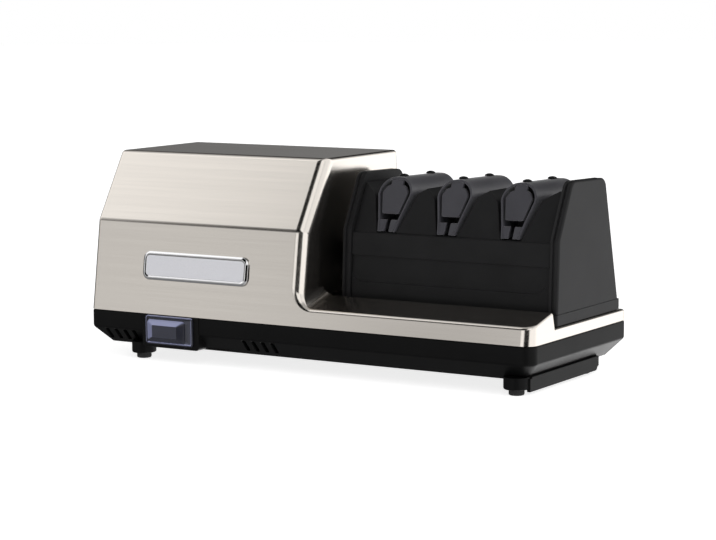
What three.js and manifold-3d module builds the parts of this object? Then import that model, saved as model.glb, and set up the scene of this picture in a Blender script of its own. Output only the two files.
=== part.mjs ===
import * as THREE from 'three';
import { mergeVertices } from 'three/addons/utils/BufferGeometryUtils.js';
import Module from 'manifold-3d';

// A three-stage electric knife sharpener, in millimetres.
// +X runs from the motor end to the knife end, +Y to the back and +Z up.
// The origin is on the ground under the middle of the whole body.

// Whole body: the length follows from the housing and from the stages behind it
const bodyDepth = 161;
const bodyTop = 167.5;
const housingLength = 204.9;
const moduleGap = 11.3;
const firstStageInset = 38.3;
const stagePitches = [54, 56.1];
const lastStageInset = 43.4;
const moduleEndGap = 2;
const moduleStart = housingLength + moduleGap;
const stageCentres = [moduleStart + firstStageInset];
for (const pitch of stagePitches) stageCentres.push(stageCentres[stageCentres.length - 1] + pitch);
const moduleEnd = stageCentres[stageCentres.length - 1] + lastStageInset;
const bodyLength = moduleEnd + moduleEndGap;
const seatGap = 0.3;
const cutOverrun = 1;

// Roundness of the model
const arcSteps = 4;
const tightArcSteps = 3;
const turnedSides = 18;
const fineSides = 30;
const smallSides = 10;

// Steel cover: high motor housing with two front facets, and a low platform with a ramp
const coverBottom = 38.7;
const coverWall = 1.5;
const innerDrop = 20;
const kinkSetback = 10.7;
const kinkHeight = 112.6;
const topFrontSetback = 44.1;
const topBackSetback = 9.4;
const housingBend = 3.5;
const stripTop = 52.4;
const rampTop = 60.6;
const rampBack = 35.2;
const rampCrest = 5;
const rampCrestShare = 0.25;
const platformHeight = 47.5;
const platformFront = 38.4;
const platformBend = 1.5;
const endCornerRadius = 10;
const rearCornerRadius = 4;
const motorEndCornerRadius = 3;
const endWallFillet = 10;
const endWallHoleRadius = 13;

// Base tub: band, chamfer, floor and skirt
const bandBottom = 24.5;
const baseUnderside = 11;
const baseChamfer = 12;
const baseWall = 3;
const chamferTightening = 5;
const baseFloor = 3;
const skirtThickness = 3;
const skirtInset = 7;
const skirtBottom = 2.7;
const skirtRearSetback = 33.6;
const skirtRound = 1.5;
const skirtRear = bodyDepth - skirtRearSetback;

// Vents on the front chamfer
const ventWidth = 3.6;
const ventPitch = 9.1;
const ventTop = 23.6;
const ventBottom = 14.4;
const ventDepth = 17;
const ventsPerGroup = 4;
const leftVentStart = 14.5;
const rightVentStart = 151.2;

// Feet
const bossRadius = 10;
const bossBottom = 4.6;
const padRadius = 6;
const padTop = 4.3;
const padEdge = 1.2;
const footStemRadius = 3.2;
const footStemTop = 10.5;
const fitClearance = 0.3;
const leftFootX = 44.8;
const rightFootInset = 18.5;
const rightFootX = bodyLength - rightFootInset;
const frontFootY = 11.5;
const rearFootSetback = 40;
const rearFootY = bodyDepth - rearFootSetback;

// Nameplate, left bare, on the lower front facet
const plateLeft = 51.2;
const plateLength = 101.3;
const plateLow = 67.2;
const plateHeight = 21.4;
const plateThickness = 1.8;
const plateCornerRadius = 6;
const plateRim = 2.2;
const plateRecess = 0.7;

// Switch pod and switch
const podLeft = 52.5;
const podLength = 56.5;
const podRight = podLeft + podLength;
const podBottom = 11.6;
const podProud = 0.8;
const podDepth = 15;
const podWall = 2.8;
const switchInset = 24.1;
const switchCentreX = podLeft + switchInset;
const switchCentreZ = 25.4;
const switchBodyLength = 33;
const switchBodyHeight = 17.4;
const switchBodyDepth = 24;
const switchMouthDepth = 8.6;
const switchMouthWall = 2.1;
const bootInset = 3.5;
const bootLength = 46.3;
const bootLeft = podLeft + bootInset;
const bootRight = bootLeft + bootLength;
const bootLow = 14.8;
const bootHigh = 37.4;
const bootFrameThickness = 2;
const bootCornerRadius = 3;
const domeLength = 35.6;
const domeHeight = 16.8;
const domeProud = 5.8;
const domeWall = 1.1;
const domeCornerRadius = 4.5;
const domeShoulderShare = 0.62;
const domeShoulderInset = 1.3;
const domeCrownInset = 5.4;
const rockerLength = 25.6;
const rockerHeight = 12.4;
const rockerTipRise = 2.3;
const rockerWaistRise = 0.4;
const rockerSkirtDepth = 2.2;
const rockerHubDepth = 4.4;
const rockerHubLength = 6;
const rockerTilt = 6;
const rockerPivotInset = 1.6;

// Cord inlet on the back wall
const inletX = 30;
const inletZ = 32.1;
const inletRadius = 4.6;
const inletFlange = 5.9;
const inletFlangeThickness = 2;
const inletBore = 3;

// Module heights, each counted from the one under it
const panHeight = 9.1;
const panTop = platformHeight + panHeight;
const lowerFaceHeight = 14.6;
const creaseLow = panTop + lowerFaceHeight;
const panelHeight = 20.6;
const creaseMiddle = creaseLow + panelHeight;
const bandHeight = 18;
const creaseHigh = creaseMiddle + bandHeight;
const notchFloorRise = 0.5;
const notchFloor = creaseHigh + notchFloorRise;
const notchWallHeight = 27.2;
const notchLeadHeight = notchFloor + notchWallHeight;
const archFootGap = 1;
const archBottom = notchFloor + archFootGap;
const archWideRise = 27.9;
const archWideHeight = archBottom + archWideRise;
const archCrownRise = 13.7;
const archTop = archWideHeight + archCrownRise;
const shoulderDrop = 5.3;
const shoulderHeight = archTop - shoulderDrop;
const cheekRise = 2.9;
const cheekTop = archTop + cheekRise;
const notchFloorWall = 2.9;
const cavityTop = notchFloor - notchFloorWall;

// Shaft line shared by the motor and the spindle
const shaftRearOffset = 15.5;
const shaftY = bodyDepth / 2 + shaftRearOffset;
const shaftDrop = 21.4;
const shaftZ = cavityTop - shaftDrop;
const shaftRadius = 5;
const shaftEdgeShare = 0.2;

// Dog coupling between the motor shaft and the spindle
const couplingGap = 0.8;
const couplingRadius = 10;
const couplingInset = 5.9;
const driveHubStart = housingLength - couplingInset;
const driveHubLength = 7;
const dogLength = 4;
const dogCount = 3;
const dogInner = 5.6;
const dogSpan = 50;
const drivenHubLength = 5;

// Motor, filling the housing from its left wall to the fan
const bellLength = 22;
const bellWall = 3.5;
const bellHubRadius = 16;
const bellHubReach = 6;
const bellWindows = 6;
const bellWindowWidth = 11;
const bellWindowInset = 5;
const bearingOuter = 11;
const bearingWidth = 9;
const bearingLipShare = 0.25;
const bearingDishShare = 0.1;
const fanToCoupling = 47;
const fanStart = driveHubStart - fanToCoupling;
const fanRadius = 36;
const fanWidth = 12;
const fanHubRadius = 11;
const fanPlate = 1.8;
const fanBlades = 9;
const fanBladeThickness = 1.6;
const bellToFan = 14;
const motorShaftStart = 26;
const shaftStub = 18;
const statorStart = motorShaftStart + shaftStub + bellLength;
const statorEnd = fanStart - bellToFan - bellLength;
const statorRadius = 42;
const statorBore = 24.6;
const statorSlots = 12;
const statorSlotDepth = 9;
const statorSlotWidth = 5;
const rotorRadius = 24;
const rotorOverhang = 1.5;
const windingLength = 9;
const windingRoundShare = 0.25;
const windingInner = 26;
const windingOuter = 37;

// Motor cradle and its rubber blocks
const cradlePlate = 3;
const cradleHalfDepth = 38;
const cradleOverhang = 6;
const saddleThickness = 6;
const saddleHalfDepth = 30;
const mountHeight = 6;
const mountRadius = 8;
const mountStemRadius = 3;
const mountInset = 9;

// Sharpening module: body between two cheeks, on a tray
const cheekThickness = 8;
const cheekFrontLow = 45;
const cheekKinkY = 48.1;
const cheekTopFront = 70.4;
const cheekTopRearSetback = 33.6;
const cheekTopRear = bodyDepth - cheekTopRearSetback;
const cheekTopFall = 1.4;
const cheekRearSetback = 10.5;
const cheekRearLow = bodyDepth - cheekRearSetback;
const cheekFrontRound = 9;
const cheekRearRound = 8;
const cheekGroove = 1.6;
const cheekGrooveWidth = 2.4;
const panFront = 43.8;
const panRearSetback = 6.7;
const panRear = bodyDepth - panRearSetback;
const panWall = 2.6;
const panCornerRadius = 3;
const faceInset = 1.8;
const bandProud = 0.7;
const ledgeInset = 1.2;
const panelDish = 0.9;
const panelCornerRadius = 11;
const shoulderFront = 70.6;
const shoulderRearSetback = 35.4;
const shoulderRear = bodyDepth - shoulderRearSetback;
const moduleWall = 2.6;
const spindleNotchHalf = 16;
const spindleNotchRise = 14;

// V notches, one for each stage
const notchFloorHalf = 8.7;
const notchLeftHalf = 18.4;
const notchRightHalf = 19.2;
const notchRightLift = 3.1;
const notchRise = 12.9;
const notchLeftRun = 13.6;
const notchRightRun = 18.1;
const postHalf = 5;
const postFront = 73;
const postRearSetback = 34;
const postRear = bodyDepth - postRearSetback;
const windowSide = 0.9;
const windowHeight = 9;

// Guide springs
const archWall = 2.1;
const archFootHalf = 8;
const archToeHalf = 9.8;
const archWideHalf = 15.2;
const archRound = 13.4;
const roofFall = 1.3;
const roofFront = 70.8;
const footFront = 50.4;
const archRearSetback = 25;
const archRear = bodyDepth - archRearSetback;
const roofSlope = roofFall / (archRear - roofFront);
const tonguePlate = 2.2;
const tongueRecess = 0.6;
const tongueNeckHalf = 5;
const tongueNeckDrop = 6.4;
const tongueHalf = 11.8;
const tongueWideRise = 1.5;
const tongueShoulderDrop = 6;
const tongueFootHalf = 7.9;
const tongueGap = 4.5;
const toeHeight = 8.8;
const toeSlotHalf = 1.9;
const toeTop = archBottom + toeHeight;
const tongueBottom = toeTop + tongueGap;
const tongueWideHeight = archWideHeight + tongueWideRise;
const tongueShoulder = archTop - tongueShoulderDrop;
const tongueNeckHeight = archTop - tongueNeckDrop;
const ridgeHoleRadius = 2;
const ridgeHeadRadius = 3.3;
const ridgeHeadHeight = 1.5;
const ridgeShankRadius = 1.6;
const ridgeShankLength = 9;
const ridgeScrewInset = 6;

// Spindle, abrasive disks and their springs
const diskRadius = 30;
const diskThickness = 5;
const diskRim = 3;
const diskHubRadius = 12;
const diskBore = 5.3;
const diskTravel = 1.5;
const diskFaceOffset = 9.8;
const springLength = 8;
const springRadius = 8.2;
const springWire = 0.6;
const springTurns = 3;
const springStepsPerTurn = 7;
const springSides = 4;
const springLeastGap = 0.4;
const collarRadius = 10.5;
const endCollarLength = 3;
const bushOuter = 9;
const bushLength = 6;

// Surfaces
const looks = {
  steel: { color: 0xcfc6ba, roughness: 0.3, metalness: 1 },
  blackMoulding: { color: 0x1c1c1e, roughness: 0.55, metalness: 0 },
  greyMoulding: { color: 0x3c3b40, roughness: 0.45, metalness: 0 },
  rubber: { color: 0x111111, roughness: 0.9, metalness: 0 },
  chrome: { color: 0xb9b7b5, roughness: 0.15, metalness: 1 },
  boot: { color: 0x6f7493, roughness: 0.3, metalness: 0 },
  rocker: { color: 0x1b1c26, roughness: 0.4, metalness: 0 },
  castMetal: { color: 0x8d8f92, roughness: 0.5, metalness: 1 },
  laminations: { color: 0x565659, roughness: 0.6, metalness: 1 },
  copper: { color: 0xa85c2c, roughness: 0.4, metalness: 1 },
  turnedSteel: { color: 0xb8babd, roughness: 0.25, metalness: 1 },
  abrasive: { color: 0xa9a595, roughness: 0.8, metalness: 0.6 },
  bronze: { color: 0xa57c42, roughness: 0.45, metalness: 1 },
};

const wasm = await Module();
wasm.setup();

const alongX = new THREE.Vector3(1, 0, 0);
const alongY = new THREE.Vector3(0, 1, 0);
const alongZ = new THREE.Vector3(0, 0, 1);

// Turns a closed mesh into a solid that can be joined and cut.
function solidOf(geometry) {
  const plain = geometry.clone();
  plain.deleteAttribute('normal');
  plain.deleteAttribute('uv');
  const welded = mergeVertices(plain);
  return new wasm.Manifold(new wasm.Mesh({
    numProp: 3,
    vertProperties: Float32Array.from(welded.attributes.position.array),
    triVerts: Uint32Array.from(welded.index.array),
  }));
}

function geometryOf(solid) {
  const mesh = solid.getMesh();
  const geometry = new THREE.BufferGeometry();
  geometry.setAttribute('position', new THREE.BufferAttribute(mesh.vertProperties, 3));
  geometry.setIndex(new THREE.BufferAttribute(mesh.triVerts, 1));
  geometry.computeVertexNormals();
  return geometry;
}

function join(solids) {
  return solids.reduce((whole, next) => whole.add(next));
}

function cutAll(solid, tools) {
  return tools.reduce((whole, next) => whole.subtract(next), solid);
}

function extruded(points, depth) {
  const shape = new THREE.Shape(points.map(([u, v]) => new THREE.Vector2(u, v)));
  return new THREE.ExtrudeGeometry(shape, { depth, bevelEnabled: false });
}

// A prism along X from an outline of [y, z] points.
function prismX(points, from, to) {
  const geometry = extruded(points, to - from);
  geometry.applyMatrix4(new THREE.Matrix4().makeBasis(alongY, alongZ, alongX));
  geometry.translate(from, 0, 0);
  return solidOf(geometry);
}

// A prism along Y from an outline of [x, z] points.
function prismY(points, from, to) {
  const geometry = extruded(points, to - from);
  geometry.applyMatrix4(new THREE.Matrix4().makeBasis(alongX, alongZ, alongY.clone().negate()));
  geometry.translate(0, to, 0);
  return solidOf(geometry);
}

// A prism along Z from an outline of [x, y] points.
function prismZ(points, from, to) {
  const geometry = extruded(points, to - from);
  geometry.translate(0, 0, from);
  return solidOf(geometry);
}

function block(x0, x1, y0, y1, z0, z1) {
  const geometry = new THREE.BoxGeometry(x1 - x0, y1 - y0, z1 - z0);
  geometry.translate((x0 + x1) / 2, (y0 + y1) / 2, (z0 + z1) / 2);
  return solidOf(geometry);
}

// A cylinder along Z, from z0 up to z1.
function post(radius, x, y, z0, z1, sides = smallSides) {
  const geometry = new THREE.CylinderGeometry(radius, radius, z1 - z0, sides);
  geometry.rotateX(Math.PI / 2);
  geometry.translate(x, y, (z0 + z1) / 2);
  return solidOf(geometry);
}

// A cylinder along X on the shaft line.
function barrel(radius, from, to, sides = turnedSides) {
  const geometry = new THREE.CylinderGeometry(radius, radius, to - from, sides);
  geometry.rotateZ(-Math.PI / 2);
  geometry.translate((from + to) / 2, shaftY, shaftZ);
  return solidOf(geometry);
}

// A turned solid round the X axis from a closed profile of [x, radius] points.
function turned(profile, sides = turnedSides) {
  const closed = [...profile, profile[0]];
  const points = closed.map(([along, radius]) => new THREE.Vector2(radius, along));
  const geometry = new THREE.LatheGeometry(points, sides);
  geometry.rotateZ(-Math.PI / 2);
  return upright(solidOf(geometry), geometry);
}

// A lathe profile may run either way round, so an inside-out solid is turned over.
function upright(solid, geometry) {
  if (solid.volume() > 0) return solid;
  const flipped = geometry.clone();
  const index = Array.from(flipped.index.array);
  for (let i = 0; i < index.length; i += 3) [index[i], index[i + 1]] = [index[i + 1], index[i]];
  flipped.setIndex(index);
  return solidOf(flipped);
}

// A closed loft through convex rings with the same number of points.
function loft(rings) {
  const count = rings[0].length;
  const positions = rings.flat().flatMap((point) => [point.x, point.y, point.z]);
  const faces = [];
  for (let i = 2; i < count; i++) {
    const last = (rings.length - 1) * count;
    faces.push(0, i, i - 1, last, last + i - 1, last + i);
  }
  for (let ring = 0; ring < rings.length - 1; ring++) {
    for (let i = 0; i < count; i++) {
      const a = ring * count + i;
      const b = ring * count + ((i + 1) % count);
      faces.push(a, b, b + count, a, b + count, a + count);
    }
  }
  const geometry = new THREE.BufferGeometry();
  geometry.setAttribute('position', new THREE.Float32BufferAttribute(positions, 3));
  geometry.setIndex(faces);
  return upright(solidOf(geometry), geometry);
}

// Replaces each corner of an outline by an arc of its own radius.
function rounded(points, radii, steps = arcSteps) {
  const result = [];
  points.forEach(([u, v], i) => {
    const radius = Array.isArray(radii) ? radii[i] : radii;
    const corner = new THREE.Vector2(u, v);
    if (!radius) {
      result.push([u, v]);
      return;
    }
    const before = new THREE.Vector2(...points[(i + points.length - 1) % points.length]);
    const after = new THREE.Vector2(...points[(i + 1) % points.length]);
    const back = before.sub(corner).normalize();
    const ahead = after.sub(corner).normalize();
    const half = Math.acos(THREE.MathUtils.clamp(back.dot(ahead), -1, 1)) / 2;
    const reach = radius / Math.tan(half);
    const middle = back.clone().add(ahead).normalize();
    const centre = corner.clone().addScaledVector(middle, radius / Math.sin(half));
    const start = corner.clone().addScaledVector(back, reach).sub(centre);
    const end = corner.clone().addScaledVector(ahead, reach).sub(centre);
    const turn = Math.atan2(start.cross(end), start.dot(end));
    for (let step = 0; step <= steps; step++) {
      const point = start.clone().rotateAround(new THREE.Vector2(), (turn * step) / steps).add(centre);
      result.push([point.x, point.y]);
    }
  });
  return result;
}

// Moves every side of an outline inwards by one distance.
function inset(points, distance) {
  const area = points.reduce((sum, [u, v], i) => {
    const [p, q] = points[(i + 1) % points.length];
    return sum + u * q - p * v;
  }, 0);
  const side = Math.sign(area);
  const lines = points.map(([u, v], i) => {
    const next = new THREE.Vector2(...points[(i + 1) % points.length]);
    const direction = next.sub(new THREE.Vector2(u, v)).normalize();
    const normal = new THREE.Vector2(-direction.y, direction.x).multiplyScalar(side);
    return { point: new THREE.Vector2(u, v).addScaledVector(normal, distance), direction };
  });
  return points.map((_, i) => {
    const one = lines[(i + points.length - 1) % points.length];
    const two = lines[i];
    const gap = two.point.clone().sub(one.point);
    const along = gap.cross(two.direction) / one.direction.cross(two.direction);
    const corner = one.point.clone().addScaledVector(one.direction, along);
    return [corner.x, corner.y];
  });
}

function rectangle(u0, u1, v0, v1) {
  return [[u0, v0], [u1, v0], [u1, v1], [u0, v1]];
}

const group = new THREE.Group();
const sharpener = new THREE.Group();
group.add(sharpener);

function addPiece(name, solid, look, parent = sharpener) {
  const geometry = solid.isBufferGeometry ? solid : geometryOf(solid);
  const mesh = new THREE.Mesh(geometry, new THREE.MeshStandardMaterial(looks[look]));
  mesh.name = name;
  parent.add(mesh);
  return mesh;
}

// Steel cover

// The plan of the whole body, drawn in by a distance.
function planOutline(distance, drawnIn = distance) {
  const outline = rectangle(distance, bodyLength - distance, distance, bodyDepth - distance);
  const corners = [motorEndCornerRadius, endCornerRadius, rearCornerRadius, motorEndCornerRadius];
  return rounded(outline, corners.map((radius) => Math.max(radius - drawnIn, coverWall)));
}

function housingOutline(drop) {
  const lean = (kinkSetback * drop) / (kinkHeight - coverBottom);
  const rearLean = (topBackSetback * drop) / (bodyTop - coverBottom);
  return [
    [-lean, coverBottom - drop], [kinkSetback, kinkHeight], [topFrontSetback, bodyTop],
    [bodyDepth - topBackSetback, bodyTop], [bodyDepth + rearLean, coverBottom - drop],
  ];
}

function platformOutline(drop) {
  return [
    [0, coverBottom - drop], [0, stripTop], [rampBack, rampTop],
    [platformFront, platformHeight], [bodyDepth, platformHeight], [bodyDepth, coverBottom - drop],
  ];
}

// The swept round corner between the housing's end wall and the platform.
function endWallCorner() {
  const rings = [];
  const stations = [
    [0, stripTop], [rampBack - rampCrest, rampTop - rampCrest * rampCrestShare],
    [platformFront, platformHeight], [bodyDepth - coverWall, platformHeight],
  ];
  for (const [y, z] of stations) {
    const ring = [new THREE.Vector3(housingLength - coverWall, y, z - coverWall)];
    for (let step = 0; step <= arcSteps; step++) {
      const angle = (Math.PI / 2) * (step / arcSteps);
      const x = housingLength + endWallFillet * (1 - Math.sin(angle));
      ring.push(new THREE.Vector3(x, y, z + endWallFillet * (1 - Math.cos(angle))));
    }
    rings.push(ring);
  }
  return loft(rings);
}

function steelCover() {
  const bends = [0, housingBend, housingBend, housingBend, 0];
  const platformBends = [0, platformBend, rampCrest, platformBend, platformBend, 0];
  const housing = prismX(rounded(housingOutline(0), bends), 0, housingLength);
  const platform = prismX(rounded(platformOutline(0), platformBends), 0, bodyLength);
  const outerPlan = prismZ(planOutline(0), coverBottom, bodyTop + cutOverrun);
  const outer = housing.add(platform).add(endWallCorner()).intersect(outerPlan);
  const housingInner = prismX(inset(housingOutline(innerDrop), coverWall),
    coverWall, housingLength - coverWall);
  const platformInner = prismX(inset(platformOutline(innerDrop), coverWall),
    coverWall, bodyLength - coverWall);
  const innerPlan = prismZ(planOutline(coverWall), 0, bodyTop);
  const inner = housingInner.add(platformInner).intersect(innerPlan);
  const shaftHole = barrel(endWallHoleRadius, housingLength - coverWall - cutOverrun,
    housingLength + endWallFillet + cutOverrun);
  return outer.subtract(inner).subtract(shaftHole);
}

addPiece('steel_cover', steelCover(), 'steel');

// Base tub

const baseTop = coverBottom - seatGap;

function planRing(distance, drawnIn, z) {
  return planOutline(distance, drawnIn).map(([x, y]) => new THREE.Vector3(x, y, z));
}

function ventCutters(start) {
  const cutters = [];
  for (let i = 0; i < ventsPerGroup; i++) {
    const x = start + i * ventPitch;
    cutters.push(block(x - ventWidth / 2, x + ventWidth / 2, -cutOverrun, ventDepth, ventBottom, ventTop));
  }
  return cutters;
}

const footPlaces = [
  ['rubber_foot_front_left', leftFootX, frontFootY],
  ['rubber_foot_front_right', rightFootX, frontFootY],
  ['rubber_foot_rear_left', leftFootX, rearFootY],
  ['rubber_foot_rear_right', rightFootX, rearFootY],
];

const cradleStart = statorStart - bellLength - cradleOverhang;
const cradleEnd = statorEnd + bellLength + cradleOverhang;
const cradleBottom = baseUnderside + baseFloor + seatGap + mountHeight + seatGap;
const mountPlaces = [];
for (const x of [cradleStart + mountInset, cradleEnd - mountInset]) {
  for (const y of [shaftY - cradleHalfDepth + mountInset, shaftY + cradleHalfDepth - mountInset]) {
    mountPlaces.push([x, y]);
  }
}

function baseShell() {
  const outer = loft([
    planRing(baseChamfer, chamferTightening, baseUnderside),
    planRing(0, 0, bandBottom),
    planRing(0, 0, baseTop),
  ]);
  const inner = loft([
    planRing(baseChamfer + baseWall / 2, chamferTightening, baseUnderside + baseFloor),
    planRing(baseWall, baseWall, bandBottom + baseWall / 2),
    planRing(baseWall, baseWall, baseTop + cutOverrun),
  ]);
  const podFace = rectangle(podLeft, podRight, podBottom, baseTop);
  const pod = prismY(rounded(podFace, [bootCornerRadius, bootCornerRadius, 0, 0]), -podProud, podDepth);
  const podHollow = block(podLeft + podWall, podRight - podWall, podWall - podProud,
    podDepth + cutOverrun, podBottom + podWall, baseTop + cutOverrun);
  const mouth = block(switchCentreX - switchBodyLength / 2 - fitClearance,
    switchCentreX + switchBodyLength / 2 + fitClearance, -podProud - cutOverrun, podDepth,
    switchCentreZ - switchBodyHeight / 2 - fitClearance,
    switchCentreZ + switchBodyHeight / 2 + fitClearance);
  const bosses = footPlaces.map(([, x, y]) =>
    post(bossRadius, x, y, bossBottom, baseUnderside + baseFloor, turnedSides));
  const skirtX = bodyLength - skirtInset - skirtThickness;
  const skirtSide = rectangle(frontFootY, skirtRear, skirtBottom, baseUnderside + baseFloor);
  const skirt = prismX(rounded(skirtSide, [0, skirtRound, 0, 0], tightArcSteps), skirtX,
    skirtX + skirtThickness);
  const stemHoles = footPlaces.map(([, x, y]) =>
    post(footStemRadius + fitClearance, x, y, bossBottom - cutOverrun, footStemTop + fitClearance));
  const mountHoles = mountPlaces.map(([x, y]) => post(mountStemRadius + fitClearance, x, y,
    baseUnderside - cutOverrun, baseUnderside + baseFloor + cutOverrun));
  const inletGeometry = new THREE.CylinderGeometry(inletRadius + fitClearance,
    inletRadius + fitClearance, baseWall + 2 * cutOverrun, smallSides);
  inletGeometry.translate(inletX, bodyDepth - baseWall / 2, inletZ);
  const tub = join([outer.add(pod).subtract(inner), ...bosses, skirt]);
  return cutAll(tub, [
    podHollow, mouth, ...stemHoles, ...mountHoles, solidOf(inletGeometry),
    ...ventCutters(leftVentStart), ...ventCutters(rightVentStart),
  ]);
}

addPiece('base_shell', baseShell(), 'blackMoulding');

// Rubber feet: a pad with a rounded lower edge and a stem that plugs into its boss
function rubberFoot() {
  const profile = [
    [0, 0], [padRadius - padEdge, 0], [padRadius, padEdge], [padRadius, padTop],
    [footStemRadius, padTop], [footStemRadius, footStemTop], [0, footStemTop],
  ].map(([radius, height]) => new THREE.Vector2(radius, height));
  const geometry = new THREE.LatheGeometry(profile, smallSides);
  geometry.rotateX(Math.PI / 2);
  return geometryOf(solidOf(geometry));
}

const footGeometry = rubberFoot();
for (const [name, x, y] of footPlaces) {
  addPiece(name, footGeometry, 'rubber').position.set(x, y, 0);
}

// Nameplate

// Tilt of the lower front facet, from upright.
const facetLean = Math.atan2(kinkSetback, kinkHeight - coverBottom);

function nameplate() {
  const face = rounded(rectangle(0, plateLength, 0, plateHeight), plateCornerRadius);
  const field = rounded(rectangle(plateRim, plateLength - plateRim, plateRim, plateHeight - plateRim),
    plateCornerRadius - plateRim);
  const plate = prismY(face, -plateThickness, 0);
  const recess = prismY(field, -plateThickness - cutOverrun, -plateThickness + plateRecess);
  return plate.subtract(recess);
}

const plateMesh = addPiece('nameplate', nameplate(), 'chrome');
const plateSetback = ((plateLow - coverBottom) * kinkSetback) / (kinkHeight - coverBottom);
plateMesh.rotation.x = -facetLean;
plateMesh.position.set(plateLeft, plateSetback - seatGap / Math.cos(facetLean), plateLow);

// Switch: body, boot and rocker

function switchBody() {
  const x0 = switchCentreX - switchBodyLength / 2;
  const x1 = switchCentreX + switchBodyLength / 2;
  const z0 = switchCentreZ - switchBodyHeight / 2;
  const z1 = switchCentreZ + switchBodyHeight / 2;
  const front = -podProud;
  const body = block(x0, x1, front, front + switchBodyDepth, z0, z1);
  const mouth = block(x0 + switchMouthWall, x1 - switchMouthWall, front - cutOverrun,
    front + switchMouthDepth, z0 + switchMouthWall, z1 - switchMouthWall);
  return body.subtract(mouth);
}

addPiece('switch_body', switchBody(), 'blackMoulding');

// One ring of the boot's dome, drawn in by a distance and standing proud of the frame.
function domeRing(distance, y) {
  const outline = rectangle(-domeLength / 2 + distance, domeLength / 2 - distance,
    -domeHeight / 2 + distance, domeHeight / 2 - distance);
  const radius = Math.max(domeCornerRadius - distance / 2, domeWall);
  return rounded(outline, radius).map(([x, z]) =>
    new THREE.Vector3(switchCentreX + x, y, switchCentreZ + z));
}

const bootBack = -podProud - seatGap;
const bootFront = bootBack - bootFrameThickness;

function dome(wall, back) {
  const crown = bootFront - domeProud + wall;
  const shoulder = bootFront - domeProud * domeShoulderShare + wall;
  return loft([
    domeRing(wall, back), domeRing(wall, bootFront),
    domeRing(domeShoulderInset + wall, shoulder), domeRing(domeCrownInset + wall / 2, crown),
  ]);
}

function switchBoot() {
  const frame = prismY(rounded(rectangle(bootLeft, bootRight, bootLow, bootHigh), bootCornerRadius),
    bootFront, bootBack);
  return frame.add(dome(0, bootBack)).subtract(dome(domeWall, bootBack + cutOverrun));
}

addPiece('switch_boot', switchBoot(), 'boot');

function switchRocker() {
  const half = rockerLength / 2;
  const outline = [
    [-half, -rockerTipRise], [0, -rockerWaistRise], [half, -rockerTipRise],
    [half, rockerSkirtDepth], [rockerHubLength / 2, rockerHubDepth],
    [-rockerHubLength / 2, rockerHubDepth], [-half, rockerSkirtDepth],
  ];
  return prismZ(outline, -rockerHeight / 2, rockerHeight / 2);
}

const rockerMesh = addPiece('switch_rocker', switchRocker(), 'rocker');
rockerMesh.rotation.z = THREE.MathUtils.degToRad(-rockerTilt);
rockerMesh.position.set(switchCentreX, -podProud + rockerPivotInset, switchCentreZ);

// Cord inlet grommet in the back wall
function cordInlet() {
  const wallIn = bodyDepth - baseWall;
  const rings = [
    [inletFlange, bodyDepth + seatGap, bodyDepth + seatGap + inletFlangeThickness],
    [inletRadius, wallIn - seatGap, bodyDepth + seatGap],
    [inletFlange, wallIn - seatGap - inletFlangeThickness, wallIn - seatGap],
  ];
  const shoulders = rings.map(([radius, from, to]) => {
    const geometry = new THREE.CylinderGeometry(radius, radius, to - from, smallSides);
    geometry.translate(inletX, (from + to) / 2, inletZ);
    return solidOf(geometry);
  });
  const bore = new THREE.CylinderGeometry(inletBore, inletBore, bodyDepth, smallSides);
  bore.translate(inletX, wallIn, inletZ);
  return join(shoulders).subtract(solidOf(bore));
}

addPiece('cord_inlet', cordInlet(), 'rubber');

// Motor on the shaft line

const motor = new THREE.Group();
motor.position.set(0, shaftY, shaftZ);
sharpener.add(motor);

const leftBellStart = statorStart - seatGap - bellLength;
const rightBellEnd = statorEnd + seatGap + bellLength;

// A radial block that repeats round the shaft line.
function spoke(angle, x0, x1, inner, outer, width) {
  const geometry = new THREE.BoxGeometry(x1 - x0, outer - inner, width);
  geometry.translate((x0 + x1) / 2, (inner + outer) / 2, 0);
  geometry.rotateX(angle);
  return solidOf(geometry);
}

function around(count, make) {
  return Array.from({ length: count }, (_, i) => make((2 * Math.PI * i) / count));
}

function statorStack() {
  const ring = turned([[statorStart, statorBore], [statorStart, statorRadius],
    [statorEnd, statorRadius], [statorEnd, statorBore]], fineSides);
  const slots = around(statorSlots, (angle) => spoke(angle, statorStart - cutOverrun,
    statorEnd + cutOverrun, statorBore - cutOverrun, statorBore + statorSlotDepth, statorSlotWidth));
  return cutAll(ring, slots);
}

addPiece('stator_stack', statorStack(), 'laminations', motor);

function windingRing(from, to) {
  const soft = windingLength * windingRoundShare;
  return turned([
    [from, windingInner], [from, windingOuter - soft], [from + soft, windingOuter],
    [to - soft, windingOuter], [to, windingOuter - soft], [to, windingInner],
  ]);
}

addPiece('winding_left', windingRing(statorStart - seatGap - windingLength, statorStart - seatGap),
  'copper', motor);
addPiece('winding_right', windingRing(statorEnd + seatGap, statorEnd + seatGap + windingLength),
  'copper', motor);

// A cast end bell: rim, web and bearing hub, with windows for the cooling air.
// It is drawn with its open rim at zero and its hub towards +X.
function endBell() {
  const shell = turned([
    [0, statorRadius], [0, statorRadius - bellWall], [bellLength - bellWall, statorRadius - bellWall],
    [bellLength - bellWall, bellHubRadius], [bellLength - bellWall - bellHubReach, bellHubRadius],
    [bellLength - bellWall - bellHubReach, bearingOuter + fitClearance],
    [bellLength, bearingOuter + fitClearance], [bellLength, statorRadius - bellWall],
    [bellLength - bellWall, statorRadius],
  ]);
  const windows = around(bellWindows, (angle) => spoke(angle, bellWall + bellWindowInset,
    bellLength - bellWall - bellWindowInset, statorRadius - bellWall - bellWindowInset,
    statorRadius + cutOverrun, bellWindowWidth));
  return cutAll(shell, windows);
}

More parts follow.
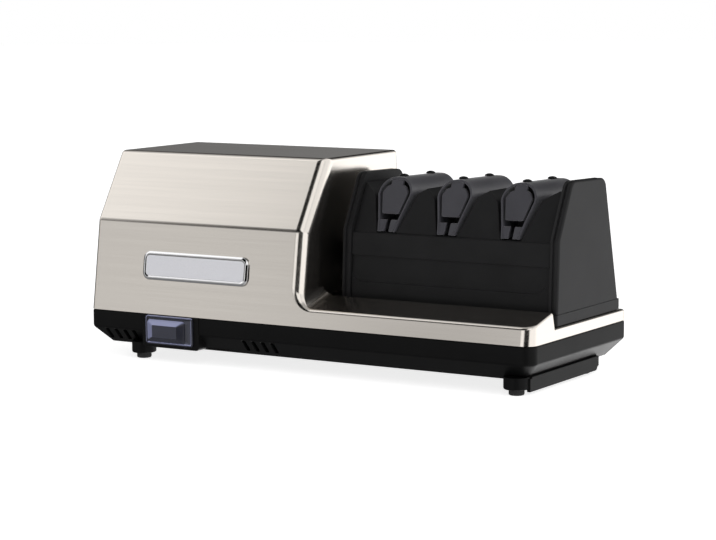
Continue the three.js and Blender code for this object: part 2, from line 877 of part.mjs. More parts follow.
const bellGeometry = geometryOf(endBell());
const leftBell = addPiece('end_bell_left', bellGeometry, 'castMetal', motor);
leftBell.rotation.z = Math.PI;
leftBell.position.x = statorStart - seatGap;
const rightBell = addPiece('end_bell_right', bellGeometry, 'castMetal', motor);
rightBell.position.x = statorEnd + seatGap;

// Ball bearings, each drawn as one ring with its seal recessed on both sides
function bearing(outer, bore, width) {
  const lip = (outer - bore) * bearingLipShare;
  const dish = width * bearingDishShare;
  return turned([
    [0, bore], [0, bore + lip], [dish, bore + lip], [dish, outer - lip], [0, outer - lip], [0, outer],
    [width, outer], [width, outer - lip], [width - dish, outer - lip], [width - dish, bore + lip],
    [width, bore + lip], [width, bore],
  ], smallSides);
}

const motorBearing = geometryOf(bearing(bearingOuter, shaftRadius + fitClearance, bearingWidth));
addPiece('bearing_left', motorBearing, 'turnedSteel', motor).position.x = leftBellStart + seatGap;
addPiece('bearing_right', motorBearing, 'turnedSteel', motor).position.x =
  rightBellEnd - bearingWidth - seatGap;

function plainShaft(from, to, radius) {
  const edge = radius * shaftEdgeShare;
  return turned([
    [from, 0], [from, radius - edge], [from + edge, radius], [to - edge, radius], [to, radius - edge],
    [to, 0],
  ]);
}

const driveHubEnd = driveHubStart + driveHubLength;
addPiece('motor_shaft', plainShaft(motorShaftStart, driveHubEnd - seatGap, shaftRadius),
  'turnedSteel', motor);
addPiece('rotor_core', turned([
  [statorStart - rotorOverhang, shaftRadius + fitClearance], [statorStart - rotorOverhang, rotorRadius],
  [statorEnd + rotorOverhang, rotorRadius], [statorEnd + rotorOverhang, shaftRadius + fitClearance],
]), 'laminations', motor);

function coolingFan() {
  const hub = turned([
    [fanStart, shaftRadius + fitClearance], [fanStart, fanRadius], [fanStart + fanPlate, fanRadius],
    [fanStart + fanPlate, fanHubRadius], [fanStart + fanWidth, fanHubRadius],
    [fanStart + fanWidth, shaftRadius + fitClearance],
  ]);
  const blades = around(fanBlades, (angle) => spoke(angle, fanStart + fanPlate / 2,
    fanStart + fanWidth, fanHubRadius - fanBladeThickness, fanRadius - fanBladeThickness,
    fanBladeThickness));
  return join([hub, ...blades]);
}

addPiece('cooling_fan', coolingFan(), 'blackMoulding', motor);

// Dog coupling: the three dogs of one hub stand between the three of the other

// A ring sector round the X axis, as one dog of the coupling.
function dog(middle, from, to) {
  const half = THREE.MathUtils.degToRad(dogSpan) / 2;
  const outline = [];
  for (let step = 0; step <= arcSteps; step++) {
    const angle = middle - half + (2 * half * step) / arcSteps;
    outline.push([couplingRadius * Math.cos(angle), couplingRadius * Math.sin(angle)]);
  }
  for (let step = arcSteps; step >= 0; step--) {
    const angle = middle - half + (2 * half * step) / arcSteps;
    outline.push([dogInner * Math.cos(angle), dogInner * Math.sin(angle)]);
  }
  return prismX(outline, from, to);
}

function couplingHub(hubFrom, hubTo, bore, dogFrom, dogTo, turn) {
  const hub = turned([[hubFrom, bore], [hubFrom, couplingRadius], [hubTo, couplingRadius],
    [hubTo, bore]]);
  return join([hub, ...around(dogCount, (angle) => dog(angle + turn, dogFrom, dogTo))]);
}

const drivenHubStart = driveHubEnd + dogLength + couplingGap;
addPiece('drive_coupling', couplingHub(driveHubStart, driveHubEnd, shaftRadius + fitClearance,
  driveHubEnd - seatGap, driveHubEnd + dogLength, 0), 'greyMoulding', motor);

// Motor cradle with two saddles, on rubber blocks

function saddle(x) {
  const top = shaftZ - statorRadius / 2;
  const upright = block(x, x + saddleThickness, shaftY - saddleHalfDepth, shaftY + saddleHalfDepth,
    cradleBottom, top);
  return upright.subtract(barrel(statorRadius + seatGap, x - cutOverrun, x + saddleThickness + cutOverrun,
    fineSides));
}

function motorCradle() {
  const plate = block(cradleStart, cradleEnd, shaftY - cradleHalfDepth, shaftY + cradleHalfDepth,
    cradleBottom, cradleBottom + cradlePlate);
  const saddles = [saddle(statorStart - bellLength / 2 - saddleThickness / 2),
    saddle(statorEnd + bellLength / 2 - saddleThickness / 2)];
  const holes = mountPlaces.map(([x, y]) => post(mountStemRadius + fitClearance, x, y,
    cradleBottom - cutOverrun, cradleBottom + cradlePlate + cutOverrun));
  return cutAll(join([plate, ...saddles]), holes);
}

addPiece('motor_cradle', motorCradle(), 'castMetal');

// A rubber block with a stem through the floor and another through the cradle plate
function motorMount() {
  const top = mountHeight + seatGap + cradlePlate;
  const profile = [
    [0, -baseFloor], [mountStemRadius, -baseFloor], [mountStemRadius, 0], [mountRadius, 0],
    [mountRadius, mountHeight], [mountStemRadius, mountHeight], [mountStemRadius, top], [0, top],
  ].map(([radius, height]) => new THREE.Vector2(radius, height));
  const geometry = new THREE.LatheGeometry(profile, smallSides);
  geometry.rotateX(Math.PI / 2);
  return geometryOf(solidOf(geometry));
}

const mountGeometry = motorMount();
mountPlaces.forEach(([x, y], i) => {
  addPiece(`motor_mount_${i + 1}`, mountGeometry, 'rubber')
    .position.set(x, y, baseUnderside + baseFloor + seatGap);
});

// Sharpening module

const bodyStart = moduleStart + cheekThickness + seatGap;
const bodyEnd = moduleEnd - cheekThickness - seatGap;
const panBottom = platformHeight + seatGap;
const moduleLow = panTop + seatGap;

function cheekOutline() {
  return [
    [cheekFrontLow, moduleLow], [cheekKinkY, kinkHeight], [cheekTopFront, cheekTop],
    [cheekTopRear, cheekTop - cheekTopFall], [cheekRearLow, moduleLow],
  ];
}

const cheekRounds = [0, cheekFrontRound, cheekFrontRound, cheekRearRound, 0];

// A cheek with a shallow groove round its face, between two raised lines.
function cheek(from, outward) {
  const to = from + cheekThickness;
  const whole = prismX(rounded(cheekOutline(), cheekRounds), from, to);
  const grooveFrom = outward < 0 ? from + cheekGrooveWidth : to - 2 * cheekGrooveWidth;
  const drawnIn = rounded(inset(cheekOutline(), cheekGroove), cheekRounds);
  const rim = prismX(rounded(inset(cheekOutline(), -cheekGroove), cheekRounds), grooveFrom,
    grooveFrom + cheekGrooveWidth);
  const groove = rim.subtract(prismX(drawnIn, grooveFrom - cutOverrun, grooveFrom + cheekGrooveWidth
    + cutOverrun));
  return whole.subtract(groove);
}

function leftCheek() {
  const hole = barrel(bushOuter + fitClearance, moduleStart - cutOverrun, bodyStart + cutOverrun);
  return cheek(moduleStart, -1).subtract(hole);
}

function rightCheek() {
  const start = moduleEnd - cheekThickness;
  const pocket = barrel(bushOuter + fitClearance, start - cutOverrun, start + bushLength + fitClearance);
  return cheek(start, 1).subtract(pocket);
}

addPiece('module_left_cheek', leftCheek(), 'blackMoulding');
addPiece('module_right_cheek', rightCheek(), 'greyMoulding');

// Setback of the cheek's front edge at a height under the kink.
function frontAt(z) {
  return cheekFrontLow + ((cheekKinkY - cheekFrontLow) * (z - moduleLow)) / (kinkHeight - moduleLow);
}

function moduleOutline() {
  return [
    [frontAt(moduleLow) + faceInset, moduleLow],
    [frontAt(creaseMiddle) + faceInset, creaseMiddle],
    [frontAt(creaseMiddle) + faceInset - bandProud, creaseMiddle],
    [frontAt(creaseHigh) + faceInset, creaseHigh],
    [frontAt(creaseHigh) + faceInset + ledgeInset, creaseHigh],
    [shoulderFront, shoulderHeight],
    [shoulderRear, shoulderHeight],
    [cheekRearLow - faceInset, moduleLow],
  ];
}

function notchOutline(centre) {
  const top = notchLeadHeight + notchRise;
  return [
    [centre - notchFloorHalf, notchFloor], [centre + notchFloorHalf, notchFloor],
    [centre + notchRightHalf, notchLeadHeight + notchRightLift],
    [centre + notchRightHalf + notchRightRun, top], [centre - notchLeftHalf - notchLeftRun, top],
    [centre - notchLeftHalf, notchLeadHeight],
  ];
}

// The sunk field on the lower front, with round lower corners.
function dishedPanel() {
  const outline = rounded(rectangle(bodyStart - cutOverrun, bodyEnd + cutOverrun, creaseLow, creaseMiddle),
    [panelCornerRadius, panelCornerRadius, 0, 0]);
  const slab = prismY(outline, cheekFrontLow - cheekThickness, cheekKinkY + cheekThickness);
  const depth = faceInset + panelDish;
  const reach = prismX([
    [frontAt(moduleLow) - faceInset, moduleLow], [frontAt(moduleLow) + depth, moduleLow],
    [frontAt(creaseMiddle) + depth, creaseMiddle], [frontAt(creaseMiddle) - faceInset, creaseMiddle],
  ], bodyStart - cutOverrun, bodyEnd + cutOverrun);
  return slab.intersect(reach);
}

function diskWindow(centre, side) {
  const near = diskFaceOffset - windowSide;
  const far = diskFaceOffset + diskThickness + diskTravel + windowSide;
  const x0 = centre + (side > 0 ? near : -far);
  const chord = Math.sqrt(diskRadius ** 2 - (cavityTop - shaftZ) ** 2) + windowSide;
  return block(x0, x0 + far - near, shaftY - chord, shaftY + chord, cavityTop - cutOverrun,
    notchFloor + windowHeight);
}

// The spindle goes in from below, through a wide notch in each end wall.
function moduleHousing() {
  const outer = prismX(moduleOutline(), bodyStart, bodyEnd);
  const lowFront = frontAt(moduleLow) + faceInset + moduleWall;
  const cavity = prismX([
    [lowFront, moduleLow - cutOverrun],
    [frontAt(creaseMiddle) + faceInset + panelDish + moduleWall, cavityTop],
    [cheekRearLow - faceInset - moduleWall - (cavityTop - moduleLow)
      * ((cheekRearLow - faceInset - shoulderRear) / (shoulderHeight - moduleLow)), cavityTop],
    [cheekRearLow - faceInset - moduleWall, moduleLow - cutOverrun],
  ], bodyStart + moduleWall, bodyEnd - moduleWall);
  const notches = stageCentres.map((centre) =>
    prismY(notchOutline(centre), 0, bodyDepth));
  const windows = stageCentres.flatMap((centre) => [diskWindow(centre, -1), diskWindow(centre, 1)]);
  const posts = stageCentres.map((centre) => block(centre - postHalf, centre + postHalf, postFront,
    postRear, cavityTop, postTop));
  const holes = stageCentres.flatMap((centre) => ridgeScrewYs.map((y) =>
    post(ridgeShankRadius + fitClearance, centre, y, roofAt(y) - ridgeShankLength - fitClearance,
      archTop + cutOverrun)));
  const endNotches = [bodyStart, bodyEnd].map((x) => block(x - moduleWall - cutOverrun,
    x + moduleWall + cutOverrun, shaftY - spindleNotchHalf, shaftY + spindleNotchHalf,
    moduleLow - cutOverrun, shaftZ + spindleNotchRise));
  const hollow = cutAll(outer, [dishedPanel(), cavity, ...notches, ...endNotches]);
  return cutAll(join([hollow, ...posts]), [...windows, ...holes]);
}

const ridgeScrewYs = [postFront + ridgeScrewInset, postRear - ridgeScrewInset];

// Height of a guide's roof, which falls a little towards the back.
function roofAt(y) {
  return archTop - roofSlope * (y - roofFront);
}

// The posts stand under the round inside of the arches.
const archInnerRound = archRound - archWall;
const postTop = roofAt(postRear) - archRound + Math.sqrt(archInnerRound ** 2 - postHalf ** 2) - seatGap;

addPiece('module_housing', moduleHousing(), 'blackMoulding');

function modulePan() {
  const plan = (distance) => rounded(
    rectangle(moduleStart + distance, moduleEnd - distance, panFront + distance, panRear - distance),
    Math.max(panCornerRadius - distance, seatGap));
  return prismZ(plan(0), panBottom, panTop)
    .subtract(prismZ(plan(panWall), panBottom + panWall, panTop + cutOverrun));
}

addPiece('module_pan', modulePan(), 'blackMoulding');

// Guide springs

// The front view of the arch, its wings drawn together at the foot.
function archOutline(distance, bottom) {
  const lean = (archToeHalf - archFootHalf) / toeHeight;
  const foot = archFootHalf - (archBottom - bottom) * lean;
  const outline = [
    [-foot, bottom], [foot, bottom], [archToeHalf, toeTop], [archWideHalf, archWideHeight],
    [archWideHalf, archTop], [-archWideHalf, archTop], [-archWideHalf, archWideHeight],
    [-archToeHalf, toeTop],
  ];
  const crown = archRound - distance;
  return rounded(inset(outline, distance), [0, 0, 0, 0, crown, crown, 0, 0]);
}

// Side view of a spring, between a front edge and a rear edge that both lean.
function springSide(front, rear) {
  return [[front[0], archBottom], [rear[0], archBottom], [rear[1], archTop], [front[1], archTop]];
}

function endPlateShape() {
  const tongue = rounded([
    [-tongueFootHalf, tongueBottom], [tongueFootHalf, tongueBottom], [tongueHalf, tongueWideHeight],
    [tongueHalf, tongueShoulder], [-tongueHalf, tongueShoulder], [-tongueHalf, tongueWideHeight],
  ], [tonguePlate, tonguePlate, tonguePlate, tongueNeckHalf, tongueNeckHalf, tonguePlate], tightArcSteps);
  const neck = rectangle(-tongueNeckHalf, tongueNeckHalf, tongueNeckHeight - tongueNeckHalf,
    archTop - archWall / 2);
  const from = footFront - cutOverrun;
  const to = archRear + cutOverrun;
  const toes = [-1, 1].map((side) => prismY(rectangle(
    Math.min(side * toeSlotHalf, side * archWideHalf), Math.max(side * toeSlotHalf, side * archWideHalf),
    archBottom - archWall, toeTop), from, to));
  const inside = prismY(archOutline(archWall / 2, archBottom - archWall), from, to);
  return join([prismY(tongue, from, to), prismY(neck, from, to), ...toes]).intersect(inside);
}

function guideSpring() {
  const from = footFront - cutOverrun;
  const to = archRear + cutOverrun;
  const hollow = archOutline(archWall, archBottom - archWall - cutOverrun);
  const fall = new THREE.Matrix4().makeShear(0, 0, 0, -roofSlope, 0, 0)
    .setPosition(0, 0, roofSlope * roofFront);
  const ring = prismY(archOutline(0, archBottom - archWall), from, to)
    .subtract(prismY(hollow, from - cutOverrun, to + cutOverrun)).transform(fall.elements);
  const reach = archWideHalf + cutOverrun;
  const frontEdge = [footFront, roofFront];
  const rearEdge = [archRear, archRear];
  const arch = ring.intersect(prismX(springSide(frontEdge, rearEdge), -reach, reach));
  const shape = endPlateShape().transform(fall.elements);
  const front = shape.intersect(prismX(springSide(frontEdge.map((y) => y + tongueRecess),
    frontEdge.map((y) => y + tongueRecess + tonguePlate)), -reach, reach));
  const rear = shape.intersect(prismX(springSide(rearEdge.map((y) => y - tongueRecess - tonguePlate),
    rearEdge.map((y) => y - tongueRecess)), -reach, reach));
  const holes = ridgeScrewYs.map((y) => post(ridgeHoleRadius, 0, y,
    archTop - archWall - roofFall - cutOverrun, archTop + cutOverrun));
  return cutAll(join([arch, front, rear]), holes);
}

const guideSpringGeometry = geometryOf(guideSpring());
stageCentres.forEach((centre, i) => {
  addPiece(`guide_spring_${i + 1}`, guideSpringGeometry, 'greyMoulding').position.x = centre;
});

// Domed screws that hold each guide spring to its post
function ridgeScrew() {
  const crown = [];
  for (let step = 0; step <= tightArcSteps; step++) {
    const angle = (Math.PI / 2) * (step / tightArcSteps);
    crown.push([ridgeHeadRadius * Math.cos(angle), ridgeHeadHeight * Math.sin(angle)]);
  }
  const profile = [[0, -ridgeShankLength], [ridgeShankRadius, -ridgeShankLength],
    [ridgeShankRadius, 0], ...crown];
  const geometry = new THREE.LatheGeometry(
    profile.map(([radius, height]) => new THREE.Vector2(Math.max(radius, 0), height)), smallSides);
  geometry.rotateX(Math.PI / 2);
  return geometryOf(solidOf(geometry));
}

const screwGeometry = ridgeScrew();
stageCentres.forEach((centre, i) => ridgeScrewYs.forEach((y, j) => {
  addPiece(`ridge_screw_${2 * i + j + 1}`, screwGeometry, 'blackMoulding')
    .position.set(centre, y, roofAt(y) + seatGap);
}));

// Spindle with its collars, turned in one piece

const spindle = new THREE.Group();
spindle.position.set(0, shaftY, shaftZ);
sharpener.add(spindle);

const drivenHubEnd = drivenHubStart + drivenHubLength;
const springOffset = diskFaceOffset + diskThickness + seatGap;
const collarOffset = springOffset + springLength + seatGap;

function spindleShaft() {
  const first = stageCentres[0] - collarOffset;
  const last = stageCentres[stageCentres.length - 1] + collarOffset;
  const collars = [[first - endCollarLength, first], [last, last + endCollarLength]];
  for (let i = 0; i < stageCentres.length - 1; i++) {
    collars.push([stageCentres[i] + collarOffset, stageCentres[i + 1] - collarOffset]);
  }
  const rod = plainShaft(drivenHubStart + seatGap, moduleEnd - cheekThickness + bushLength - seatGap,
    shaftRadius);
  return join([rod, ...collars.map(([from, to]) =>
    turned([[from, 0], [from, collarRadius], [to, collarRadius], [to, 0]]))]);
}

addPiece('spindle_shaft', spindleShaft(), 'turnedSteel', spindle);

addPiece('driven_coupling', couplingHub(drivenHubStart, drivenHubEnd, shaftRadius + fitClearance,
  drivenHubStart - dogLength, drivenHubStart + seatGap, Math.PI / dogCount), 'greyMoulding', spindle);

const bushGeometry = geometryOf(bearing(bushOuter, shaftRadius + fitClearance, bushLength));
addPiece('spindle_bearing_left', bushGeometry, 'bronze', spindle).position.x =
  moduleStart + cheekThickness - bushLength;
addPiece('spindle_bearing_right', bushGeometry, 'bronze', spindle).position.x =
  moduleEnd - cheekThickness;

// An abrasive disk: its flat working face at zero, a bevelled rim and a hub behind
function abrasiveDisk() {
  const rim = diskRadius - diskRim;
  return turned([
    [0, diskBore], [0, rim], [diskRim / 2, diskRadius], [diskRim, diskRadius],
    [diskRim, diskHubRadius], [diskThickness, diskHubRadius], [diskThickness, diskBore],
  ]);
}

class Helix extends THREE.Curve {
  getPoint(share) {
    const angle = 2 * Math.PI * springTurns * share;
    const rise = springWire + (springLength - 2 * springWire) * share;
    return new THREE.Vector3(rise, springRadius * Math.cos(angle), springRadius * Math.sin(angle));
  }
}

// One unbroken tube along a helix round the X axis.
function helicalSpring() {
  const section = new THREE.Shape();
  for (let i = 0; i < springSides; i++) {
    const angle = (2 * Math.PI * i) / springSides;
    section[i ? 'lineTo' : 'moveTo'](springWire * Math.cos(angle), springWire * Math.sin(angle));
  }
  const geometry = new THREE.ExtrudeGeometry(section, {
    steps: springTurns * springStepsPerTurn, bevelEnabled: false, extrudePath: new Helix(),
  });
  const leastGap = (springLength - 2 * springWire) / springTurns - 2 * springWire;
  console.log(`disk spring: least gap between turns ${leastGap.toFixed(2)} mm`);
  if (leastGap < springLeastGap) console.log('disk spring: the turns are too close');
  return geometryOf(solidOf(geometry));
}

const diskGeometry = geometryOf(abrasiveDisk());
const springGeometry = helicalSpring();
stageCentres.forEach((centre, i) => {
  for (const [label, side] of [['left', -1], ['right', 1]]) {
    const disk = addPiece(`disk_${i + 1}_${label}`, diskGeometry, 'abrasive', spindle);
    const spring = addPiece(`disk_spring_${i + 1}_${label}`, springGeometry, 'turnedSteel', spindle);
    disk.position.x = centre + side * diskFaceOffset;
    spring.position.x = centre + side * springOffset;
    if (side < 0) {
      disk.rotation.z = Math.PI;
      spring.rotation.z = Math.PI;
    }
  }
});

// The origin goes to the ground under the middle of everything
const frontReach = bootFront - domeProud;
const rearReach = bodyDepth + seatGap + inletFlangeThickness;
sharpener.position.set(-bodyLength / 2, -(frontReach + rearReach) / 2, 0);

export default group;
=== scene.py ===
"""The looks of a three-stage electric knife sharpener, built around its packed CAD frame."""
import math

import bmesh
import bpy
from bpy.props import FloatProperty, FloatVectorProperty, PointerProperty
from mathutils import Matrix, Vector


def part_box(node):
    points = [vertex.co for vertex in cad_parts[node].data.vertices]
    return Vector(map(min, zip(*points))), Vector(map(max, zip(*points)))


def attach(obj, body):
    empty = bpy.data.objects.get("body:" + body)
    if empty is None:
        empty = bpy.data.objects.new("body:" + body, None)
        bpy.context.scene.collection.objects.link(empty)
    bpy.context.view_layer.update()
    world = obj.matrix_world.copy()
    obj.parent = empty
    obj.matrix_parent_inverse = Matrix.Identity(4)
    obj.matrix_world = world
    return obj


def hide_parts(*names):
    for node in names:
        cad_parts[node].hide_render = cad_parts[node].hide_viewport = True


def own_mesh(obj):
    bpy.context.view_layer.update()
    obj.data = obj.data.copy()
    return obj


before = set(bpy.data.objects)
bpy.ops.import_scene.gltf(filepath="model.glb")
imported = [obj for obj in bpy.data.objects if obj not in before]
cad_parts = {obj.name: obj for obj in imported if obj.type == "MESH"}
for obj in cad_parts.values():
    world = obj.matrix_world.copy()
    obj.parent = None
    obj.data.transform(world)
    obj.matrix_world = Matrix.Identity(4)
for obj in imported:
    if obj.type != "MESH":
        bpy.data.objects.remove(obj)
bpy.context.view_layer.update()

bl_info = {
    "name": "Electric Knife Sharpener",
    "version": (1, 0, 0),
    "blender": (4, 5, 0),
    "location": "View3D > Sidebar > Sharpener",
    "description": "Builds the visible pieces, finishes and studio of a three-stage knife sharpener",
    "category": "Object",
}

# The pieces are drawn in millimetres from the housing's front left corner on the ground
MM = 0.001
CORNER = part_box("steel_cover")[0]


def at(x, y, z):
    """A drawn point in the frame's metres."""
    return Vector((CORNER.x + x * MM, CORNER.y + y * MM, z * MM))


def drawn(point):
    """A point of the frame in drawn millimetres."""
    return ((point.x - CORNER.x) / MM, (point.y - CORNER.y) / MM, point.z / MM)


def drawn_box(node):
    low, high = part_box(node)
    return drawn(low), drawn(high)


# Whole body
LENGTH, DEPTH, TOP = drawn_box("steel_cover")[1]
COVER_BOTTOM = drawn_box("steel_cover")[0][2]
BASE_TOP = drawn_box("base_shell")[1][2]
KINK_SETBACK, KINK_HEIGHT = 10.7, 112.6
CORNER_RADIUS, REAR_CORNER = 10.0, 4.0
SHAFT_Y, SHAFT_Z = 96.0, 86.0

# Centres of the three notches
STAGES = (254.5, 308.5, 364.6)

# Cutting bodies run past what they cut by this much
OVERRUN = 1.0


# Mesh drawing

def turned_by(u, v, angle):
    return u * math.cos(angle) - v * math.sin(angle), u * math.sin(angle) + v * math.cos(angle)


def circle(radius, sides):
    return [turned_by(radius, 0, 2 * math.pi * i / sides) for i in range(sides)]


def rounded(points, radii, steps=6):
    """Replaces each corner of an outline by an arc of its own radius."""
    result = []
    count = len(points)
    for i, (u, v) in enumerate(points):
        radius = radii[i] if isinstance(radii, (list, tuple)) else radii
        if not radius:
            result.append((u, v))
            continue
        corner = Vector((u, v))
        back = (Vector(points[i - 1]) - corner).normalized()
        ahead = (Vector(points[(i + 1) % count]) - corner).normalized()
        half = math.acos(max(-1.0, min(1.0, back.dot(ahead)))) / 2
        centre = corner + (back + ahead).normalized() * (radius / math.sin(half))
        reach = radius / math.tan(half)
        start, end = corner + back * reach - centre, corner + ahead * reach - centre
        turn = math.atan2(start.x * end.y - start.y * end.x, start.dot(end))
        for step in range(steps + 1):
            du, dv = turned_by(start.x, start.y, turn * step / steps)
            result.append((centre.x + du, centre.y + dv))
    return result


def inset(points, distance):
    """Moves every side of an outline inwards by one distance."""
    count = len(points)
    area = sum(points[i][0] * points[(i + 1) % count][1] - points[(i + 1) % count][0] * points[i][1]
               for i in range(count))
    side = 1 if area > 0 else -1
    lines = []
    for i, point in enumerate(points):
        way = (Vector(points[(i + 1) % count]) - Vector(point)).normalized()
        lines.append((Vector(point) + Vector((-way.y, way.x)) * side * distance, way))
    result = []
    for i in range(count):
        (one, way_one), (two, way_two) = lines[i - 1], lines[i]
        gap = two - one
        along = (gap.x * way_two.y - gap.y * way_two.x) / (way_one.x * way_two.y - way_one.y * way_two.x)
        corner = one + way_one * along
        result.append((corner.x, corner.y))
    return result


def rectangle(u0, u1, v0, v1):
    return [(u0, v0), (u1, v0), (u1, v1), (u0, v1)]


def across_x(outline, x):
    return [at(x, y, z) for y, z in outline]


def across_y(outline, y):
    return [at(x, y, z) for x, z in outline]


def across_z(outline, z):
    return [at(x, y, z) for x, y in outline]


def strip(bm, rings, meets_itself=False):
    """Joins rings of points with the same count, and returns their rows of vertices."""
    rows = [[bm.verts.new(point) for point in ring] for ring in rings]
    for low, high in zip(rows, rows[1:] + (rows[:1] if meets_itself else [])):
        for i in range(len(low)):
            j = (i + 1) % len(low)
            bm.faces.new((low[i], low[j], high[j], high[i]))
    return rows


def solid(bm, rings):
    """A closed body lofted through rings."""
    rows = strip(bm, rings)
    bm.faces.new(rows[0])
    bm.faces.new(rows[-1])


def block(bm, x0, x1, y0, y1, z0, z1):
    solid(bm, [across_z(rectangle(x0, x1, y0, y1), z) for z in (z0, z1)])


def turned(profile, centre, axis, sides):
    """Rings of a turned form, from (along, radius) points, round an axis through a drawn centre."""
    rings = []
    for along, radius in profile:
        ring = []
        for u, v in circle(radius, sides):
            step = {"X": (along, u, v), "Y": (v, along, u), "Z": (u, v, along)}[axis]
            ring.append(at(*(c + s for c, s in zip(centre, step))))
        rings.append(ring)
    return rings


def mesh_object(name, bm):
    bmesh.ops.recalc_face_normals(bm, faces=bm.faces)
    mesh = bpy.data.meshes.new(name)
    bm.to_mesh(mesh)
    bm.free()
    piece = bpy.data.objects.new(name, mesh)
    bpy.context.scene.collection.objects.link(piece)
    return piece


def settle(piece):
    """Turns the piece's modifiers into plain mesh."""
    graph = bpy.context.evaluated_depsgraph_get()
    mesh = bpy.data.meshes.new_from_object(piece.evaluated_get(graph), depsgraph=graph)
    former = piece.data
    piece.modifiers.clear()
    piece.data = mesh
    bpy.data.meshes.remove(former)
    mesh.name = piece.name


def combine(piece, tools, operation="DIFFERENCE"):
    """Cuts or joins the piece with each tool body, and deletes the tools."""
    for tool in tools:
        made = piece.modifiers.new("joint", "BOOLEAN")
        made.operation, made.solver, made.object = operation, "EXACT", tool
    settle(piece)
    for tool in tools:
        mesh = tool.data
        bpy.data.objects.remove(tool)
        bpy.data.meshes.remove(mesh)


def body_of_faces(draw, *values):
    """A helper body drawn by one function, to cut or join with."""
    bm = bmesh.new()
    draw(bm, *values)
    return mesh_object("tool", bm)


# Points nearer than this, in metres, are one, and faces that meet flatter than this, in degrees, too
WELD, FLAT = 0.00002, 0.5


def ease_edges(piece, width, angle):
    """Rounds every edge that is sharper than an angle."""
    bm = bmesh.new()
    bm.from_mesh(piece.data)
    bmesh.ops.remove_doubles(bm, verts=bm.verts, dist=WELD)
    bmesh.ops.dissolve_limit(bm, angle_limit=math.radians(FLAT), verts=bm.verts, edges=bm.edges)
    bm.to_mesh(piece.data)
    bm.free()
    made = piece.modifiers.new("eased edges", "BEVEL")
    made.width, made.segments = width, 2
    made.limit_method, made.angle_limit = "ANGLE", math.radians(angle)
    made.miter_outer, made.use_clamp_overlap = "MITER_ARC", False
    settle(piece)


def shade(piece, angle):
    """Smooth shading with sharp corners kept, weighted so that flats stay flat."""
    piece.data.shade_smooth()
    piece.data.set_sharp_from_angle(angle=math.radians(angle))
    made = piece.modifiers.new("even shading", "WEIGHTED_NORMAL")
    made.keep_sharp, made.weight = True, 80


def finish_piece(piece, body, finishes, replaces, angle=42.0):
    """Gives a piece its finishes and shading, and ties it to the frame."""
    for look in finishes:
        piece.data.materials.append(finish(look))
    shade(piece, angle)
    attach(piece, body)
    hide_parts(replaces)


# Finishes

# A Mix node's two input sockets and its output, for vectors and for colours
MIX_VECTORS, MIXED_VECTOR = (4, 5), 1
MIX_COLOURS, MIXED_COLOUR = (6, 7), 2


